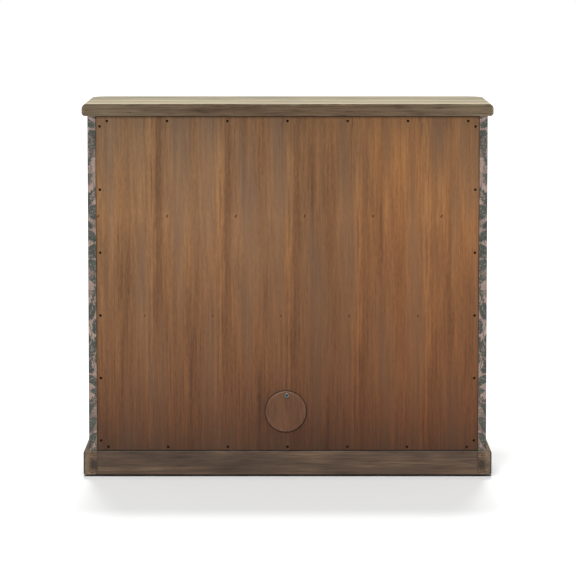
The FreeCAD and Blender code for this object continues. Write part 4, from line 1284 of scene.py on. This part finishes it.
@dataclass
class Door:
    """One door: printed panel, two hinges with their screws, strike plate and knob."""

    hand: Hand
    hinge_height_mm: float = 64.0
    leaf_thickness_mm: float = 1.1
    screw_rows_mm: tuple[float, float, float] = (-22.0, 0.0, 22.0)
    screw_insets_mm: tuple[float, float, float] = (6.0, 11.0, 6.0)

    def build(self, palette: Palette) -> None:
        """Puts three screws in each hinge leaf, two near the barrel and one further in.

        Args:
            palette: the materials.
        """
        word = self.hand.word
        low, high = box_mm(f"{word}_door_hinge_leaves")
        panel = np.array(box_mm(f"{word}_door_panel"))
        front, edge = panel[0, 1], np.abs(panel[:, 0]).max()
        opening = box_mm("right_side_panel")[0][0]
        middles = np.array([low[2], high[2] - self.hinge_height_mm]) + self.hinge_height_mm / 2
        heights = (middles[:, None] + np.array(self.screw_rows_mm)).ravel()
        depths = front + np.tile(self.screw_insets_mm, len(middles))
        for name, body, face, way in (
            (f"{word}_door_hinge_screws", f"{word}_door", edge + self.leaf_thickness_mm, 1),
            (f"{word}_frame_hinge_screws", "carcass", opening - self.leaf_thickness_mm, -1),
        ):
            side = np.full_like(heights, self.hand.value)
            places = np.stack([side * face, depths, heights], 1)
            outward = np.stack([side * way, 0 * side, 0 * side], 1)
            ScrewHeads(name, body).build(places, outward, palette.brass)

    def dress(self, palette: Palette) -> None:
        """Gives the door's pieces their finishes.

        Args:
            palette: the materials.
        """
        door = f"{self.hand.word}_door"
        dress(palette.front_print, f"{door}_panel")
        dress(palette.brass, f"{door}_knob", f"{door}_hinge_leaves")
        dress(palette.black, f"{door}_knob_screw")
        dress(palette.zinc, f"{door}_strike_plate")


@dataclass(frozen=True)
class SoftLight:
    """A wide soft light from far off, with the direction that it comes from."""

    name: str
    towards: tuple[float, float, float]
    spread_deg: float
    strength: float

    def build(self) -> None:
        """Hangs the light, turned so that it shines from its direction."""
        lamp = bpy.data.lights.new(self.name, "SUN")
        lamp.angle, lamp.energy = math.radians(self.spread_deg), self.strength
        holder = bpy.data.objects.new(self.name, lamp)
        holder.rotation_euler = (-Vector(self.towards)).to_track_quat("-Z", "Y").to_euler()
        bpy.context.scene.collection.objects.link(holder)


@dataclass
class Studio:
    """Pale floor, soft light and the camera of the photograph's view."""

    camera_m: tuple[float, float, float] = (-0.0011, 8.887, 1.332)
    pitch_rad: float = 0.0989
    lens_mm: float = 219.73
    sensor_mm: float = 36.0
    far_clip_m: float = 100.0
    floor_half_m: float = 40.0
    floor_colour: str = "#aeaeae"
    surround_light: float = 0.42
    lights: tuple[SoftLight, ...] = (
        SoftLight("overhead light", (0.03, 0.12, 1.0), 24.0, 3.4),
        SoftLight("front light", (0.0, -0.7, 1.0), 14.0, 4.6),
        SoftLight("rear key light", (0.25, 0.9, 0.8), 12.0, 1.62),
    )

    def build(self) -> None:
        """Puts up the floor, the world, the lights and the camera."""
        self.floor()
        self.world()
        for light in self.lights:
            light.build()
        self.camera()

    def floor(self) -> None:
        """A flat pale sheet under the cabinet, which isn't part of it."""
        mesh = bpy.data.meshes.new("studio_floor")
        corners = np.array([(-1, -1, 0), (1, -1, 0), (1, 1, 0), (-1, 1, 0)], float) * self.floor_half_m
        mesh.from_pydata(corners.tolist(), [], [(0, 1, 2, 3)])
        sheet = bpy.data.objects.new("studio_floor", mesh)
        bpy.context.scene.collection.objects.link(sheet)
        # Uncoated paper: one even pale grey that mirrors nothing.
        shader = Shader("matt studio paper", Roughness=0.9, Specular_IOR_Level=0.0)
        shader.surface.inputs["Base Color"].default_value = linear(self.floor_colour)
        mesh.materials.append(shader.material)

    def world(self) -> None:
        """Even white surroundings, which light the cabinet less than they show, so that lamps model it."""
        world = bpy.data.worlds.new("white surroundings")
        bpy.context.scene.world = world
        world.use_nodes = True
        tree = world.node_tree
        background = tree.nodes["Background"]
        background.inputs["Color"].default_value = (1.0, 1.0, 1.0, 1.0)
        seen = tree.nodes.new("ShaderNodeLightPath").outputs["Is Camera Ray"]
        strength = tree.nodes.new("ShaderNodeMath")
        strength.operation = "MULTIPLY_ADD"
        strength.inputs[1].default_value = 1.0 - self.surround_light
        strength.inputs[2].default_value = self.surround_light
        tree.links.new(seen, strength.inputs[0])
        tree.links.new(strength.outputs[0], background.inputs["Strength"])

    def camera(self) -> None:
        """The camera behind the cabinet, a little above its top and tipped down."""
        eye = bpy.data.cameras.new("photograph view")
        eye.lens, eye.sensor_width, eye.clip_end = self.lens_mm, self.sensor_mm, self.far_clip_m
        holder = bpy.data.objects.new("photograph view", eye)
        holder.location = self.camera_m
        ahead = Vector((0.0, -math.cos(self.pitch_rad), -math.sin(self.pitch_rad)))
        holder.rotation_euler = ahead.to_track_quat("-Z", "Y").to_euler()
        bpy.context.scene.collection.objects.link(holder)
        bpy.context.scene.camera = holder
        bpy.context.scene.view_settings.view_transform = "Standard"


def main() -> None:
    """Builds and dresses the cabinet and its studio."""
    logging.basicConfig(level=logging.INFO, format="%(message)s")
    palette = Palette()
    Plinth().dress(palette)
    Carcass().dress(palette)
    BackPanel().dress(palette)
    CableCover().dress()
    for hand in Hand:
        Drawer(hand).dress(palette)
        door = Door(hand)
        door.build(palette)
        door.dress(palette)
    Studio().build()


if __name__ == "__main__":
    main()
